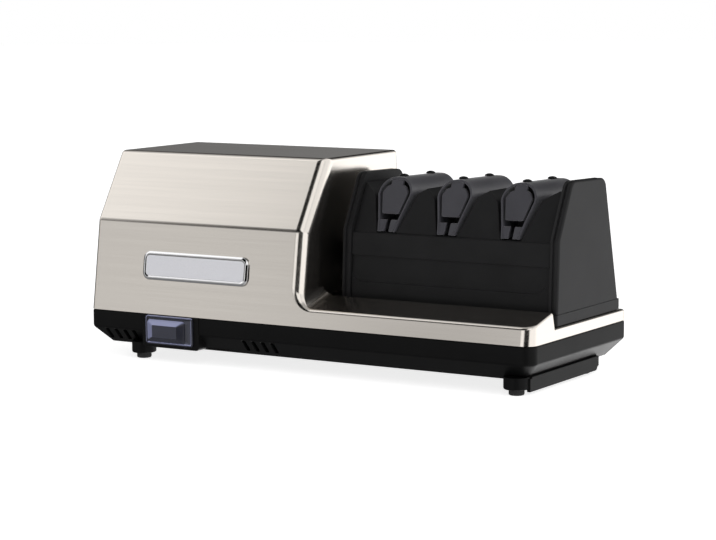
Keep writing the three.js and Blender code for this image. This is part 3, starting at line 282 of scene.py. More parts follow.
class Finish:
    """A procedural material with its nodes."""

    def __init__(self, name, colour, roughness, metallic=0.0):
        self.material = bpy.data.materials.new(name)
        self.material.use_nodes = True
        self.nodes = self.material.node_tree.nodes
        self.links = self.material.node_tree.links
        self.shader = self.nodes["Principled BSDF"]
        self.colour = tuple(colour)
        self.roughness = roughness
        self.shader.inputs["Metallic"].default_value = metallic
        self.place = self.nodes.new("ShaderNodeTexCoord").outputs["Object"]

    def set(self, **values):
        for name, value in values.items():
            self.shader.inputs[name.replace("_", " ")].default_value = value
        return self

    def stretched(self, stretch):
        """The place on the object, stretched before a pattern reads it."""
        mapping = self.nodes.new("ShaderNodeMapping")
        mapping.inputs["Scale"].default_value = stretch
        self.links.new(self.place, mapping.inputs["Vector"])
        return mapping.outputs["Vector"]

    def pattern(self, kind, output, place=None, **values):
        """One of Blender's textures, with its inputs set by name."""
        texture = self.nodes.new("ShaderNodeTex" + kind)
        for name, value in values.items():
            texture.inputs[name].default_value = value
        self.links.new(place or self.place, texture.inputs["Vector"])
        return texture, texture.outputs[output]

    def noise(self, scale, detail=2.0, place=None):
        return self.pattern("Noise", "Fac", place, Scale=scale, Detail=detail)[1]

    def facing(self):
        return self.nodes.new("ShaderNodeTexCoord").outputs["Normal"]

    def by_facing(self, elsewhere, on_ends):
        """Stretches the pattern one way on the faces that look along X, and another way elsewhere."""
        parts = self.nodes.new("ShaderNodeSeparateXYZ")
        self.links.new(self.facing(), parts.inputs[0])
        size = self.nodes.new("ShaderNodeMath")
        size.operation = "ABSOLUTE"
        self.links.new(parts.outputs["X"], size.inputs[0])
        choice = self.nodes.new("ShaderNodeMix")
        choice.data_type = "VECTOR"
        self.links.new(self.spread(size.outputs[0], 0.0, 1.0, 0.6, 0.8), choice.inputs["Factor"])
        for socket, stretch in zip(MIX_VECTORS, (elsewhere, on_ends)):
            self.links.new(self.stretched(stretch), choice.inputs[socket])
        return choice.outputs[MIXED_VECTOR]

    def towards(self, way, start, end):
        """Runs from 0 to 1 as the surface turns to face one way of the object."""
        dot = self.nodes.new("ShaderNodeVectorMath")
        dot.operation = "DOT_PRODUCT"
        self.links.new(self.facing(), dot.inputs[0])
        dot.inputs[1].default_value = way
        return self.spread(dot.outputs["Value"], 0.0, 1.0, start, end)

    def spread(self, source, low, high, start=0.3, end=0.7):
        """Carries a value from start to end over to the range from low to high."""
        node = self.nodes.new("ShaderNodeMapRange")
        node.inputs["From Min"].default_value, node.inputs["From Max"].default_value = start, end
        node.inputs["To Min"].default_value, node.inputs["To Max"].default_value = low, high
        self.links.new(source, node.inputs["Value"])
        return node.outputs["Result"]

    def tint(self, source, low, high):
        """The base colour runs between two shares of the finish's colour."""
        ramp = self.nodes.new("ShaderNodeValToRGB")
        for element, place, share in zip(ramp.color_ramp.elements, (0.3, 0.7), (low, high)):
            element.position = place
            element.color = (*(min(1.0, c * share) for c in self.colour), 1)
        self.links.new(source, ramp.inputs["Fac"])
        self.links.new(ramp.outputs["Color"], self.shader.inputs["Base Color"])
        return self

    def rough(self, source, swing):
        self.links.new(self.spread(source, self.roughness - swing, self.roughness + swing),
                       self.shader.inputs["Roughness"])
        return self

    def relief(self, source, height, strength):
        bump = self.nodes.new("ShaderNodeBump")
        bump.inputs["Strength"].default_value = strength
        bump.inputs["Distance"].default_value = height
        self.links.new(source, bump.inputs["Height"])
        self.links.new(bump.outputs["Normal"], self.shader.inputs["Normal"])
        return self

    def textured(self, source, tones, swing, relief=None):
        """Lets one pattern set the tone, the roughness and, if given, the relief."""
        self.tint(source, *tones).rough(source, swing)
        if relief:
            self.relief(source, *relief)
        return self


def brushed_steel():
    """Satin brushed sheet: fine lines run along the body, and from front to back on its end faces."""
    look = bpy.context.scene.sharpener_finishes
    steel = Finish("brushed_steel", look.steel_colour, look.steel_roughness, metallic=1.0)
    along, across = 0.3, 26.0
    place = steel.by_facing(elsewhere=(along, across, across), on_ends=(across, along, across))
    lines = steel.noise(60.0, detail=4.0, place=place)
    streaks = steel.noise(14.0, place=place)
    return steel.tint(lines, 0.985, 1.012).rough(streaks, 0.02).relief(lines, 0.000004, strength=0.3)


def moulded(name, colour, roughness, grain, cloud, tones, swing, relief):
    """Moulded plastic with a fine spark texture, and a faint cloud in its tone and gloss."""
    plastic = Finish(name, colour, roughness)
    return plastic.textured(plastic.noise(cloud), tones, swing).relief(plastic.noise(grain), *relief)


def black_plastic(name, share):
    """One batch of the black plastic, by its share of the set colour."""
    look = bpy.context.scene.sharpener_finishes
    plastic = moulded(name, [c * share for c in look.moulding_colour], look.moulding_roughness,
                      grain=2600.0, cloud=40.0, tones=(0.9, 1.1), swing=0.02, relief=(0.00003, 0.2))
    return plastic.set(Specular_IOR_Level=0.09)


def module_moulding():
    return black_plastic("module_moulding", share=1.9)


def base_moulding():
    """The base comes from a deeper black batch than the module."""
    return black_plastic("base_moulding", share=0.5)


def lit_cheek_moulding():
    """The module's right end, in a slightly greyer texture."""
    look = bpy.context.scene.sharpener_finishes
    return moulded("lit_cheek_moulding", look.lit_cheek_colour, roughness=0.5, grain=2200.0, cloud=30.0,
                   tones=(0.94, 1.06), swing=0.02, relief=(0.00004, 0.3)).set(Specular_IOR_Level=0.18)


def guide_moulding():
    """Satin bluish grey plastic of the sprung guides."""
    look = bpy.context.scene.sharpener_finishes
    grey = moulded("guide_moulding", look.guide_colour, roughness=0.36, grain=1800.0, cloud=55.0,
                   tones=(0.94, 1.06), swing=0.04, relief=(0.00003, 0.25))
    return grey.set(Specular_IOR_Level=0.35, Sheen_Weight=0.4, Sheen_Roughness=0.35)


def rubber():
    """Matt black rubber with a faint mottling."""
    black = Finish("matt_rubber", (0.018, 0.018, 0.018), roughness=0.85)
    mottle = black.noise(900.0, detail=3.0)
    return black.textured(mottle, tones=(0.8, 1.3), swing=0.06, relief=(0.00008, 0.4))


def plate_chrome():
    """Bright plated rim of the nameplate."""
    chrome = Finish("plate_chrome", (0.86, 0.86, 0.87), roughness=0.12, metallic=1.0)
    return chrome.textured(chrome.noise(160.0), tones=(0.98, 1.02), swing=0.02)


def plate_field():
    """Bare frosted field inside the nameplate's rim."""
    look = bpy.context.scene.sharpener_finishes
    field = Finish("plate_field", look.plate_colour, roughness=0.5, metallic=0.3)
    return field.textured(field.noise(1400.0), tones=(0.96, 1.03), swing=0.05, relief=(0.00003, 0.3))


def boot_skin():
    """Smoky translucent elastomer of the switch cover, lighter where its facets catch the light."""
    look = bpy.context.scene.sharpener_finishes
    skin = Finish("boot_skin", look.boot_colour, roughness=0.2)
    # Painted highlight and shade: the base colour runs from a dark share on facets turned down and right to a
    # light share on facets turned up and left
    painted_facet_light = skin.towards((-0.6, 0.0, 0.8), start=-0.35, end=0.75)
    skin.tint(painted_facet_light, 0.12, 2.6).rough(skin.noise(60.0, detail=1.0), 0.02)
    return skin.set(IOR=1.45, Transmission_Weight=0.12, Coat_Weight=0.3, Coat_Roughness=0.08)


def boot_window():
    """The thin flat top of the cover, through which the dark paddle shows."""
    look = bpy.context.scene.sharpener_finishes
    share_over_paddle = 0.2
    skin = Finish("boot_window", [c * share_over_paddle for c in look.boot_colour], roughness=0.18)
    skin.textured(skin.noise(60.0, detail=1.0), tones=(0.95, 1.05), swing=0.02)
    return skin.set(IOR=1.45, Transmission_Weight=0.12)


def rocker_gloss():
    black = Finish("rocker_gloss", (0.012, 0.013, 0.022), roughness=0.22)
    return black.textured(black.noise(200.0), tones=(0.85, 1.15), swing=0.04)


def die_casting():
    """Aluminium as cast, slightly grainy."""
    cast = Finish("die_casting", (0.52, 0.52, 0.53), roughness=0.45, metallic=0.9)
    grain = cast.noise(1100.0, detail=4.0)
    return cast.textured(grain, tones=(0.88, 1.08), swing=0.09, relief=(0.00012, 0.5))


def lamination_stack():
    """Varnished sheets of the motor's core, stacked along the shaft."""
    stack = Finish("lamination_stack", (0.16, 0.16, 0.17), roughness=0.5, metallic=0.8)
    wave, sheets = stack.pattern("Wave", "Fac", Scale=320.0, Distortion=0.4)
    wave.wave_type, wave.bands_direction = "BANDS", "X"
    return stack.textured(sheets, tones=(0.6, 1.35), swing=0.1, relief=(0.00015, 0.6))


def wound_copper():
    """Enamelled copper wire."""
    copper = Finish("wound_copper", (0.62, 0.24, 0.09), roughness=0.3, metallic=0.85)
    tone = copper.noise(160.0, detail=3.0, place=copper.stretched((1, 3, 3)))
    return copper.textured(tone, tones=(0.75, 1.2), swing=0.08).set(Coat_Weight=0.4)


def turned_steel():
    """Bright steel with fine turning marks round the shaft."""
    bright = Finish("turned_steel", (0.62, 0.63, 0.64), roughness=0.26, metallic=1.0)
    marks = bright.noise(90.0, detail=3.0, place=bright.stretched((40, 1, 1)))
    return bright.textured(marks, tones=(0.9, 1.06), swing=0.06, relief=(0.00002, 0.4))


def spring_steel():
    wire = Finish("spring_steel", (0.42, 0.43, 0.45), roughness=0.32, metallic=1.0)
    return wire.textured(wire.noise(300.0), tones=(0.9, 1.08), swing=0.05)


def abrasive_grit():
    """Metal disk with a plated layer of fine sharp grit."""
    grit = Finish("abrasive_grit", (0.42, 0.4, 0.36), roughness=0.6, metallic=0.7)
    _, cells = grit.pattern("Voronoi", "Distance", Scale=2400.0)
    return grit.textured(cells, tones=(0.55, 1.45), swing=0.15, relief=(0.00025, 0.8))


def sintered_bronze():
    bronze = Finish("sintered_bronze", (0.5, 0.33, 0.14), roughness=0.42, metallic=0.95)
    pores = bronze.noise(2200.0, detail=3.0)
    return bronze.textured(pores, tones=(0.78, 1.12), swing=0.1, relief=(0.00008, 0.5))


def fan_moulding():
    grey = Finish("fan_moulding", (0.05, 0.052, 0.06), roughness=0.45)
    return grey.textured(grey.noise(70.0), tones=(0.9, 1.1), swing=0.04)


# The "cheek" finish is a lit copy of the black moulding, for the faces at the knife end that turn towards the
# light
FINISHES = {
    "steel": brushed_steel, "black": module_moulding, "base": base_moulding, "cheek": lit_cheek_moulding,
    "guide": guide_moulding, "rubber": rubber, "chrome": plate_chrome, "field": plate_field,
    "boot": boot_skin, "window": boot_window, "rocker": rocker_gloss, "casting": die_casting,
    "laminations": lamination_stack, "copper": wound_copper, "turned": turned_steel,
    "spring": spring_steel, "grit": abrasive_grit, "bronze": sintered_bronze, "fan": fan_moulding,
}
MADE = {}


def finish(name):
    """A finish is made once, when the first piece needs it."""
    if name not in MADE:
        MADE[name] = FINISHES[name]().material
    return MADE[name]


# Steel cover

# Housing: its end wall along X, the front edge of its top, and how far its rear wall leans in
HOUSING, TOP_FRONT, TOP_BACK_SETBACK = 204.9, 44.1, 9.4

# Front strip, the ramp above it, and the platform behind the ramp
STRIP_TOP, RAMP_TOP, RAMP_BACK = 52.4, 60.6, 35.2
PLATFORM, PLATFORM_FRONT = 47.5, 38.4

# Fillet at the foot of the end wall, radius of the coupling's hole, sheet, and steps of a quarter turn
END_FILLET, SHAFT_HOLE, COVER_SHEET, ARC_STEPS = 10.0, 13.0, 1.5, 8

# Points nearer than this, in metres, are one
COVER_WELD = 0.00001

SURFACES = ("front", "upper", "top", "rear", "left", "wall", "fillet", "ramp", "drop", "platform",
            "right", "corner")


def front_plane(z):
    """Setback of the lower front facet at a height."""
    return (z - COVER_BOTTOM) * KINK_SETBACK / (KINK_HEIGHT - COVER_BOTTOM)


def rear_plane(z):
    """Place of the leaning rear wall at a height."""
    return DEPTH - (z - COVER_BOTTOM) * TOP_BACK_SETBACK / (TOP - COVER_BOTTOM)


def ramp_height(y):
    start = front_plane(STRIP_TOP)
    return STRIP_TOP + (y - start) * (RAMP_TOP - STRIP_TOP) / (RAMP_BACK - start)


def cover_sheet(bm, label):
    """Draws the outer surface of the cover, one labelled face for each flat or curved field."""
    def face(surface, points):
        made = bm.faces.new([bm.verts.new(at(*point)) for point in points])
        made[label] = SURFACES.index(surface)

    arc = [math.radians(90 * k / ARC_STEPS) for k in range(ARC_STEPS + 1)]
    bend, rear_bend = LENGTH - CORNER_RADIUS, LENGTH - REAR_CORNER
    rear_low = rear_plane(PLATFORM)
    stations = [(front_plane(STRIP_TOP), STRIP_TOP), (RAMP_BACK, RAMP_TOP), (PLATFORM_FRONT, PLATFORM),
                (SHAFT_Y, PLATFORM), (rear_low, PLATFORM)]

    def fillet_point(station, angle):
        y, z = stations[station]
        x = HOUSING + END_FILLET * (1 - math.sin(angle))
        z += END_FILLET * (1 - math.cos(angle))
        if station == 0:
            y = front_plane(z)
        if station == len(stations) - 1:
            y = rear_plane(z)
        return x, y, z

    def corner_point(angle, z, rear):
        if rear:
            inner = DEPTH - REAR_CORNER
            return (rear_bend + REAR_CORNER * math.sin(angle),
                    inner + (rear_plane(z) - inner) * math.cos(angle), z)
        return (bend + CORNER_RADIUS * math.sin(angle),
                CORNER_RADIUS - (CORNER_RADIUS - front_plane(z)) * math.cos(angle), z)

    front_fillet = [fillet_point(0, a) for a in arc]
    rear_fillet = [fillet_point(len(stations) - 1, a) for a in arc]
    face("front", [(0, 0, COVER_BOTTOM), (bend, 0, COVER_BOTTOM), (bend, front_plane(STRIP_TOP), STRIP_TOP)]
         + front_fillet + [(HOUSING, KINK_SETBACK, KINK_HEIGHT), (0, KINK_SETBACK, KINK_HEIGHT)])
    face("upper", [(0, KINK_SETBACK, KINK_HEIGHT), (HOUSING, KINK_SETBACK, KINK_HEIGHT),
                   (HOUSING, TOP_FRONT, TOP), (0, TOP_FRONT, TOP)])
    top_rear = rear_plane(TOP)
    face("top", [(0, TOP_FRONT, TOP), (HOUSING, TOP_FRONT, TOP), (HOUSING, SHAFT_Y, TOP),
                 (HOUSING, top_rear, TOP), (0, top_rear, TOP)])
    face("rear", [(0, DEPTH, COVER_BOTTOM), (rear_bend, DEPTH, COVER_BOTTOM), (rear_bend, rear_low, PLATFORM)]
         + rear_fillet + [(HOUSING, top_rear, TOP), (0, top_rear, TOP)])
    face("left", [(0, 0, COVER_BOTTOM), (0, KINK_SETBACK, KINK_HEIGHT), (0, TOP_FRONT, TOP),
                  (0, top_rear, TOP), (0, DEPTH, COVER_BOTTOM)])

    for k in range(len(stations) - 1):
        for a, b in zip(arc, arc[1:]):
            face("fillet", [fillet_point(k, a), fillet_point(k + 1, a), fillet_point(k + 1, b),
                            fillet_point(k, b)])
    start = HOUSING + END_FILLET
    corner_front = []
    for a in arc:
        x, y, _ = corner_point(a, STRIP_TOP, False)
        corner_front.append((x, y, ramp_height(y)))
    face("ramp", [(start, *stations[0])] + corner_front + [(LENGTH, *stations[1]), (start, *stations[1])])
    face("drop", [(start, *stations[1]), (LENGTH, *stations[1]), (LENGTH, *stations[2]),
                  (start, *stations[2])])
    corner_rear = [corner_point(a, PLATFORM, True) for a in arc]
    face("platform", [(start, *stations[2]), (LENGTH, *stations[2])] + corner_rear[::-1]
         + [(start, *stations[4]), (start, *stations[3])])
    for a, b, p, q in zip(arc, arc[1:], corner_front, corner_front[1:]):
        face("corner", [corner_point(a, COVER_BOTTOM, False), corner_point(b, COVER_BOTTOM, False), q, p])
    for a, b, p, q in zip(arc, arc[1:], corner_rear, corner_rear[1:]):
        face("corner", [corner_point(b, COVER_BOTTOM, True), corner_point(a, COVER_BOTTOM, True), p, q])
    face("right", [corner_point(arc[-1], COVER_BOTTOM, False), corner_front[-1], (LENGTH, *stations[1]),
                   (LENGTH, *stations[2]), corner_rear[-1], corner_point(arc[-1], COVER_BOTTOM, True)])

    # The end wall is two faces, which meet above and below the hole for the coupling
    half = [math.pi * k / (2 * ARC_STEPS) for k in range(2 * ARC_STEPS + 1)]
    front_half = [(HOUSING, SHAFT_Y - SHAFT_HOLE * math.sin(a), SHAFT_Z - SHAFT_HOLE * math.cos(a))
                  for a in half]
    rear_half = [(HOUSING, SHAFT_Y + SHAFT_HOLE * math.sin(a), SHAFT_Z + SHAFT_HOLE * math.cos(a))
                 for a in half]
    uppers = [fillet_point(k, arc[-1]) for k in range(len(stations))]
    face("wall", uppers[:4] + front_half + [(HOUSING, SHAFT_Y, TOP), (HOUSING, TOP_FRONT, TOP),
                                            (HOUSING, KINK_SETBACK, KINK_HEIGHT)])
    face("wall", [uppers[3], uppers[4], (HOUSING, top_rear, TOP), (HOUSING, SHAFT_Y, TOP)] + rear_half)


# The setting that rounds each edge between two surfaces; edges that aren't named stay sharp
EDGES = {
    "crease_round": (("front", "upper"),),
    "brow_round": (("upper", "top"), ("top", "rear"), ("top", "wall"), ("rear", "wall"))
    + tuple(("left", other) for other in SURFACES if other != "left"),
    "end_round": (("front", "wall"), ("upper", "wall")),
    "strip_round": (("front", "ramp"), ("corner", "ramp"), ("right", "ramp"), ("ramp", "drop"),
                    ("right", "drop"), ("right", "platform"), ("corner", "platform"),
                    ("rear", "platform"), ("rear", "fillet")),
}


def edge_round(pair, z, sizes):
    """The rounding of an edge between two labelled surfaces, in metres."""
    if pair == {"front", "fillet"}:
        share = max(0.0, min(1.0, (z - STRIP_TOP) / END_FILLET))
        return sizes.strip_round * (1 - share) + sizes.end_round * share
    for setting, pairs in EDGES.items():
        if any(set(names) == pair for names in pairs):
            return getattr(sizes, setting)
    return 0.0


def cover_piece():
    """The pressed cover, whose edges are rounded by the surfaces that meet there."""
    sizes = bpy.context.scene.sharpener_cover
    widest = max(sizes.crease_round, sizes.brow_round, sizes.end_round, sizes.strip_round)
    bm = bmesh.new()
    label = bm.faces.layers.int.new("surface")
    cover_sheet(bm, label)
    bmesh.ops.remove_doubles(bm, verts=bm.verts, dist=COVER_WELD)
    weight = bm.edges.layers.float.new("bevel_weight_edge")
    for edge in bm.edges:
        pair = {SURFACES[face[label]] for face in edge.link_faces}
        if len(pair) == 2:
            z = (edge.verts[0].co.z + edge.verts[1].co.z) / 2 / MM
            edge[weight] = edge_round(pair, z, sizes) / widest
    piece = mesh_object("steel_cover_skin", bm)
    rounds = piece.modifiers.new("pressed edges", "BEVEL")
    rounds.limit_method, rounds.width, rounds.segments = "WEIGHT", widest, 5
    rounds.use_clamp_overlap, rounds.loop_slide, rounds.miter_outer = False, False, "MITER_SHARP"
    sheet = piece.modifiers.new("sheet", "SOLIDIFY")
    sheet.thickness, sheet.offset = COVER_SHEET * MM, -1
    settle(piece)
    finish_piece(piece, "root", ["steel"], "steel_cover", angle=50.0)


# Base tub

BAND_BOTTOM, UNDERSIDE, CHAMFER, CHAMFER_TIGHTER = 24.5, 11.0, 12.0, 5.0
MOTOR_CORNER, LEAST_CORNER, TUB_WALL = 3.0, 1.5, 3

# Rings of the tub from its underside up: inset of the outline, loss of corner radius, height
TUB_OUTSIDE = (
    (CHAMFER + 0.8, CHAMFER_TIGHTER + 0.8, UNDERSIDE), (CHAMFER - 0.3, CHAMFER_TIGHTER, UNDERSIDE + 0.35),
    (1.2, 0.6, BAND_BOTTOM - 1.3), (0.45, 0.2, BAND_BOTTOM - 0.3), (0, 0, BAND_BOTTOM + 0.9),
    (0, 0, BASE_TOP - 1.0), (0.3, 0.3, BASE_TOP - 0.3), (1.0, 1.0, BASE_TOP),
)
TUB_INSIDE = (
    (CHAMFER + TUB_WALL / 2, CHAMFER_TIGHTER, UNDERSIDE + TUB_WALL),
    (TUB_WALL, TUB_WALL, BAND_BOTTOM + TUB_WALL / 2), (TUB_WALL, TUB_WALL, BASE_TOP + OVERRUN),
)

# Switch pod, with the mouth for the rocker's body
POD_LEFT, POD_RIGHT, POD_LOW, POD_FRONT, POD_BACK = 52.5, 109.0, 11.6, -0.8, 15
POD_ROUND, POD_WALL, POD_HOLLOW_FRONT = 3, 2.8, 2.0
SWITCH_X, SWITCH_Z, MOUTH_LENGTH, MOUTH_HEIGHT = 76.6, 25.4, 33.6, 18

# Two groups of vent slots
VENT_STARTS, VENTS_IN_GROUP, VENT_STEP = (14.5, 151.2), 4, 9.1
VENT_WIDTH, VENT_LOW, VENT_HIGH, VENT_ROUND, VENT_REACH = 3.6, 14.4, 23.6, 0.7, 17

# Two drain holes low in the front right corner of the chamfer
WEEP_PLACES, WEEP_Y, WEEP_Z, WEEP_RADIUS, WEEP_REACH = (398.6, 402.3), 10.4, 13.6, 0.95, 4.0

# Cord inlet's hole in the rear wall
INLET_X, INLET_Z, INLET_RADIUS, INLET_REACH = 30, 32.1, 4.9, 6

# Skirt under the chamfer at the knife end, with a stepped rear foot as (y, z) points
SKIRT_FRONT, SKIRT_LOW, SKIRT_TOP, SKIRT_SETBACKS = 11.5, 2.7, 14, (10, 7)
SKIRT_REAR = ((122.4, SKIRT_LOW), (124.2, 3.6), (125.2, 5.4), (127.4, 6.2), (127.4, SKIRT_TOP))

# Boss, bore and pad of a foot as (height, radius) points
FEET = ("front_left", "front_right", "rear_left", "rear_right")
FOOT_BOSS = ((4.6, 9.2), (4.9, 9.8), (5.6, 10), (14, 10))
FOOT_BORE = ((3.6, 3.5), (10.8, 3.5))
FOOT_PAD = ((10.5, 0.2), (10.5, 2.6), (9.9, 3.2), (4.35, 3.2), (4.3, 4.2), (4.25, 5.5), (4.0, 5.9),
            (3.4, 6.0), (1.2, 6.0), (0.5, 5.8), (0.12, 5.3), (0.0, 4.8), (0.0, 3.6), (0.35, 3.1),
            (0.9, 2.9), (0.9, 0.2))


def tub_form(bm, rings):
    """A body that follows the outline of the tub through its rings."""
    corners = [MOTOR_CORNER, CORNER_RADIUS, REAR_CORNER, MOTOR_CORNER]
    solid(bm, [across_z(rounded(rectangle(distance, LENGTH - distance, distance, DEPTH - distance),
                                [max(radius - drawn_in, LEAST_CORNER) for radius in corners], 8), z)
               for distance, drawn_in, z in rings])


def pod_outside(bm):
    outline = rounded(rectangle(POD_LEFT, POD_RIGHT, POD_LOW, BASE_TOP), [POD_ROUND, POD_ROUND, 0, 0])
    solid(bm, [across_y(outline, POD_FRONT), across_y(outline, POD_BACK)])


def pod_hollow(bm):
    block(bm, POD_LEFT + POD_WALL, POD_RIGHT - POD_WALL, POD_HOLLOW_FRONT, POD_BACK + OVERRUN,
          POD_LOW + POD_WALL, BASE_TOP + OVERRUN)


def switch_mouth(bm):
    block(bm, SWITCH_X - MOUTH_LENGTH / 2, SWITCH_X + MOUTH_LENGTH / 2, POD_FRONT - OVERRUN, POD_BACK,
          SWITCH_Z - MOUTH_HEIGHT / 2, SWITCH_Z + MOUTH_HEIGHT / 2)


def vent_slots(bm):
    for start in VENT_STARTS:
        for k in range(VENTS_IN_GROUP):
            x = start + VENT_STEP * k
            outline = rounded(rectangle(x - VENT_WIDTH / 2, x + VENT_WIDTH / 2, VENT_LOW, VENT_HIGH),
                              VENT_ROUND, 2)
            solid(bm, [across_y(outline, -OVERRUN), across_y(outline, VENT_REACH)])


def bore(bm, centre, radius, reach, sides):
    """A round cutter along Y that reaches as far to both sides of its centre."""
    solid(bm, turned([(-reach, radius), (reach, radius)], centre, "Y", sides))


def weep_holes(bm):
    for x in WEEP_PLACES:
        bore(bm, (x, WEEP_Y, WEEP_Z), WEEP_RADIUS, WEEP_REACH, 12)


def inlet_bore(bm):
    bore(bm, (INLET_X, DEPTH, INLET_Z), INLET_RADIUS, INLET_REACH, 24)


def middle_of(node):
    """The upright middle line of a node, as a drawn point on the ground."""
    low, high = drawn_box(node)
    return (low[0] + high[0]) / 2, (low[1] + high[1]) / 2, 0


def at_feet(bm, profile, sides):
    """The same turned form over each foot."""
    for name in FEET:
        solid(bm, turned(profile, middle_of("rubber_foot_" + name), "Z", sides))


def end_skirt(bm):
    """A wall under the chamfer at the knife end, stepped up at its rear foot."""
    outline = [(SKIRT_FRONT, SKIRT_LOW), *SKIRT_REAR, (SKIRT_FRONT, SKIRT_TOP)]
    solid(bm, [across_x(outline, LENGTH - setback) for setback in SKIRT_SETBACKS])


def base_piece():
    sizes = bpy.context.scene.sharpener_mouldings
    tub = body_of_faces(tub_form, TUB_OUTSIDE)
    combine(tub, [body_of_faces(tub_form, TUB_INSIDE)])
    combine(tub, [body_of_faces(pod_outside), body_of_faces(at_feet, FOOT_BOSS, 40),
                  body_of_faces(end_skirt)], "UNION")
    combine(tub, [body_of_faces(pod_hollow), body_of_faces(switch_mouth), body_of_faces(vent_slots),
                  body_of_faces(at_feet, FOOT_BORE, 24), body_of_faces(inlet_bore),
                  body_of_faces(weep_holes)])
    tub.name = "base_tub"
    ease_edges(tub, sizes.edge_round, angle=38.0)
    finish_piece(tub, "root", ["base"], "base_shell", angle=30.0)


def foot_pieces():
    for name in FEET:
        bm = bmesh.new()
        solid(bm, turned(FOOT_PAD, middle_of("rubber_foot_" + name), "Z", 36))
        foot = mesh_object("foot_pad_" + name, bm)
        finish_piece(foot, "root", ["rubber"], "rubber_foot_" + name)


# Nameplate

PLATE_LEFT, PLATE_LOW, PLATE_LENGTH, PLATE_HEIGHT, PLATE_SINK = 51.0, 66.2, 103.2, 23.4, 0.3
PLATE_CORNER, PLATE_LEAST_CORNER = 6.5, 1.0

# The raised rim from the plate's foot to its field: distance in from the edge, and height
PLATE_RIM = ((0, 0), (0, 0.95), (0.12, 1.2), (0.5, 1.5), (1.6, 2.1), (2.0, 2.18), (2.4, 2.12),
             (3.2, 1.65), (3.5, 1.6))


def plate_piece():
    """A plate with a broad raised rim on the lower facet, and a bare sunk field."""
    lean = math.atan2(KINK_SETBACK, KINK_HEIGHT - COVER_BOTTOM)
    base_y = front_plane(PLATE_LOW) - PLATE_SINK / math.cos(lean)

    def ring(distance, out):
        outline = rounded(rectangle(distance, PLATE_LENGTH - distance, distance, PLATE_HEIGHT - distance),
                          max(PLATE_CORNER - distance, PLATE_LEAST_CORNER), 8)
        return [at(PLATE_LEFT + u, base_y + v * math.sin(lean) - out * math.cos(lean),
                   PLATE_LOW + v * math.cos(lean) + out * math.sin(lean)) for u, v in outline]

    bm = bmesh.new()
    rows = strip(bm, [ring(distance, out) for distance, out in PLATE_RIM])
    bm.faces.new(rows[0])
    bm.faces.new(rows[-1]).material_index = 1
    plate = mesh_object("nameplate_blank", bm)
    finish_piece(plate, "root", ["chrome", "field"], "nameplate", angle=25.0)


# Switch

BOOT_LEFT, BOOT_RIGHT, BOOT_LOW, BOOT_HIGH = 57.0, 104.0, 14.3, 38.0
BOOT_CORNER, BOOT_LEAST_CORNER, BOOT_BACK, BOOT_FRONT, LENS_SHIFT = 2.6, 0.8, -1.1, -2.4, 1.0

# The frame round the lens: distance in from the edge, and depth behind its own front
BOOT_FRAME = ((0, BOOT_BACK - BOOT_FRONT), (0, 0.7), (0.2, 0.25), (0.7, 0), (1.3, 0), (1.7, 0.2),
              (2.1, 0.5))

# The lens from its groove to its flat window, and back inside it: length, height, depth, corner
LENS_OUTSIDE = ((38.8, 18.6, 0.55, 3.6), (37.9, 18.2, 0.3, 3.4), (36.0, 17.2, -0.1, 2.6),
                (35.4, 16.8, -0.5, 2.4), (34.4, 16.2, -0.7, 2.2), (25.2, 10.9, -2.5, 1.0),
                (24.6, 10.5, -2.7, 0.8), (23.8, 9.9, -2.8, 0.6))
LENS_INSIDE = ((23.0, 9.0, -1.8, 0.5), (31.4, 13.6, -0.2, 1.4), (33.2, 14.6, 0.3, 2.0),
               (33.4, 14.8, BOOT_BACK - BOOT_FRONT, 2.0))

# The paddle: half its length, how far it lies tipped, its waisted front as (share of the half, rise),
# and its back as (reach, rise)
PADDLE_HALF, PADDLE_TILT, PADDLE_Y, PADDLE_EASE = 12.8, math.radians(-6), 0.8, 0.35
PADDLE_FRONT = ((-1, 2.3), (-0.75, 2.05), (-0.4, 1.0), (0, 0.4), (0.4, 1.0), (0.75, 2.05), (1, 2.3))
PADDLE_BACK = ((PADDLE_HALF, -2.2), (3, -4.4), (-3, -4.4), (-PADDLE_HALF, -2.2))

# The paddle's rounded sides: share of its outline, and height
PADDLE_SIDES = ((0.96, -6.2), (0.99, -5.9), (1, -5.4), (1, 5.4), (0.99, 5.9), (0.96, 6.2))


def boot_piece():
    """Flanged frame with a shallow faceted lens, thin enough for the rocker to work under it."""
    def frame_ring(distance, depth):
        outline = rectangle(BOOT_LEFT + distance, BOOT_RIGHT - distance, BOOT_LOW + distance,
                            BOOT_HIGH - distance)
        corner = max(BOOT_CORNER - distance, BOOT_LEAST_CORNER)
        return across_y(rounded(outline, corner, 8), BOOT_FRONT + depth)

    def lens_ring(length, height, depth, corner):
        outline = rounded(rectangle(SWITCH_X - length / 2, SWITCH_X + length / 2, SWITCH_Z - height / 2,
                                    SWITCH_Z + height / 2), corner, 8)
        return across_y([(x + LENS_SHIFT, z) for x, z in outline], BOOT_FRONT + depth)

    bm = bmesh.new()
    outside = [frame_ring(*row) for row in BOOT_FRAME] + [lens_ring(*row) for row in LENS_OUTSIDE]
    rows = strip(bm, outside)
    inner_rows = strip(bm, [lens_ring(*row) for row in LENS_INSIDE])
    for window in (rows[-1], inner_rows[0]):
        bm.faces.new(window).material_index = 1
    first, last = rows[0], inner_rows[-1]
    for i in range(len(first)):
        j = (i + 1) % len(first)
        bm.faces.new((first[i], first[j], last[j], last[i]))
    boot = mesh_object("switch_boot_skin", bm)
    finish_piece(boot, "root", ["boot", "window"], "switch_boot", angle=30.0)


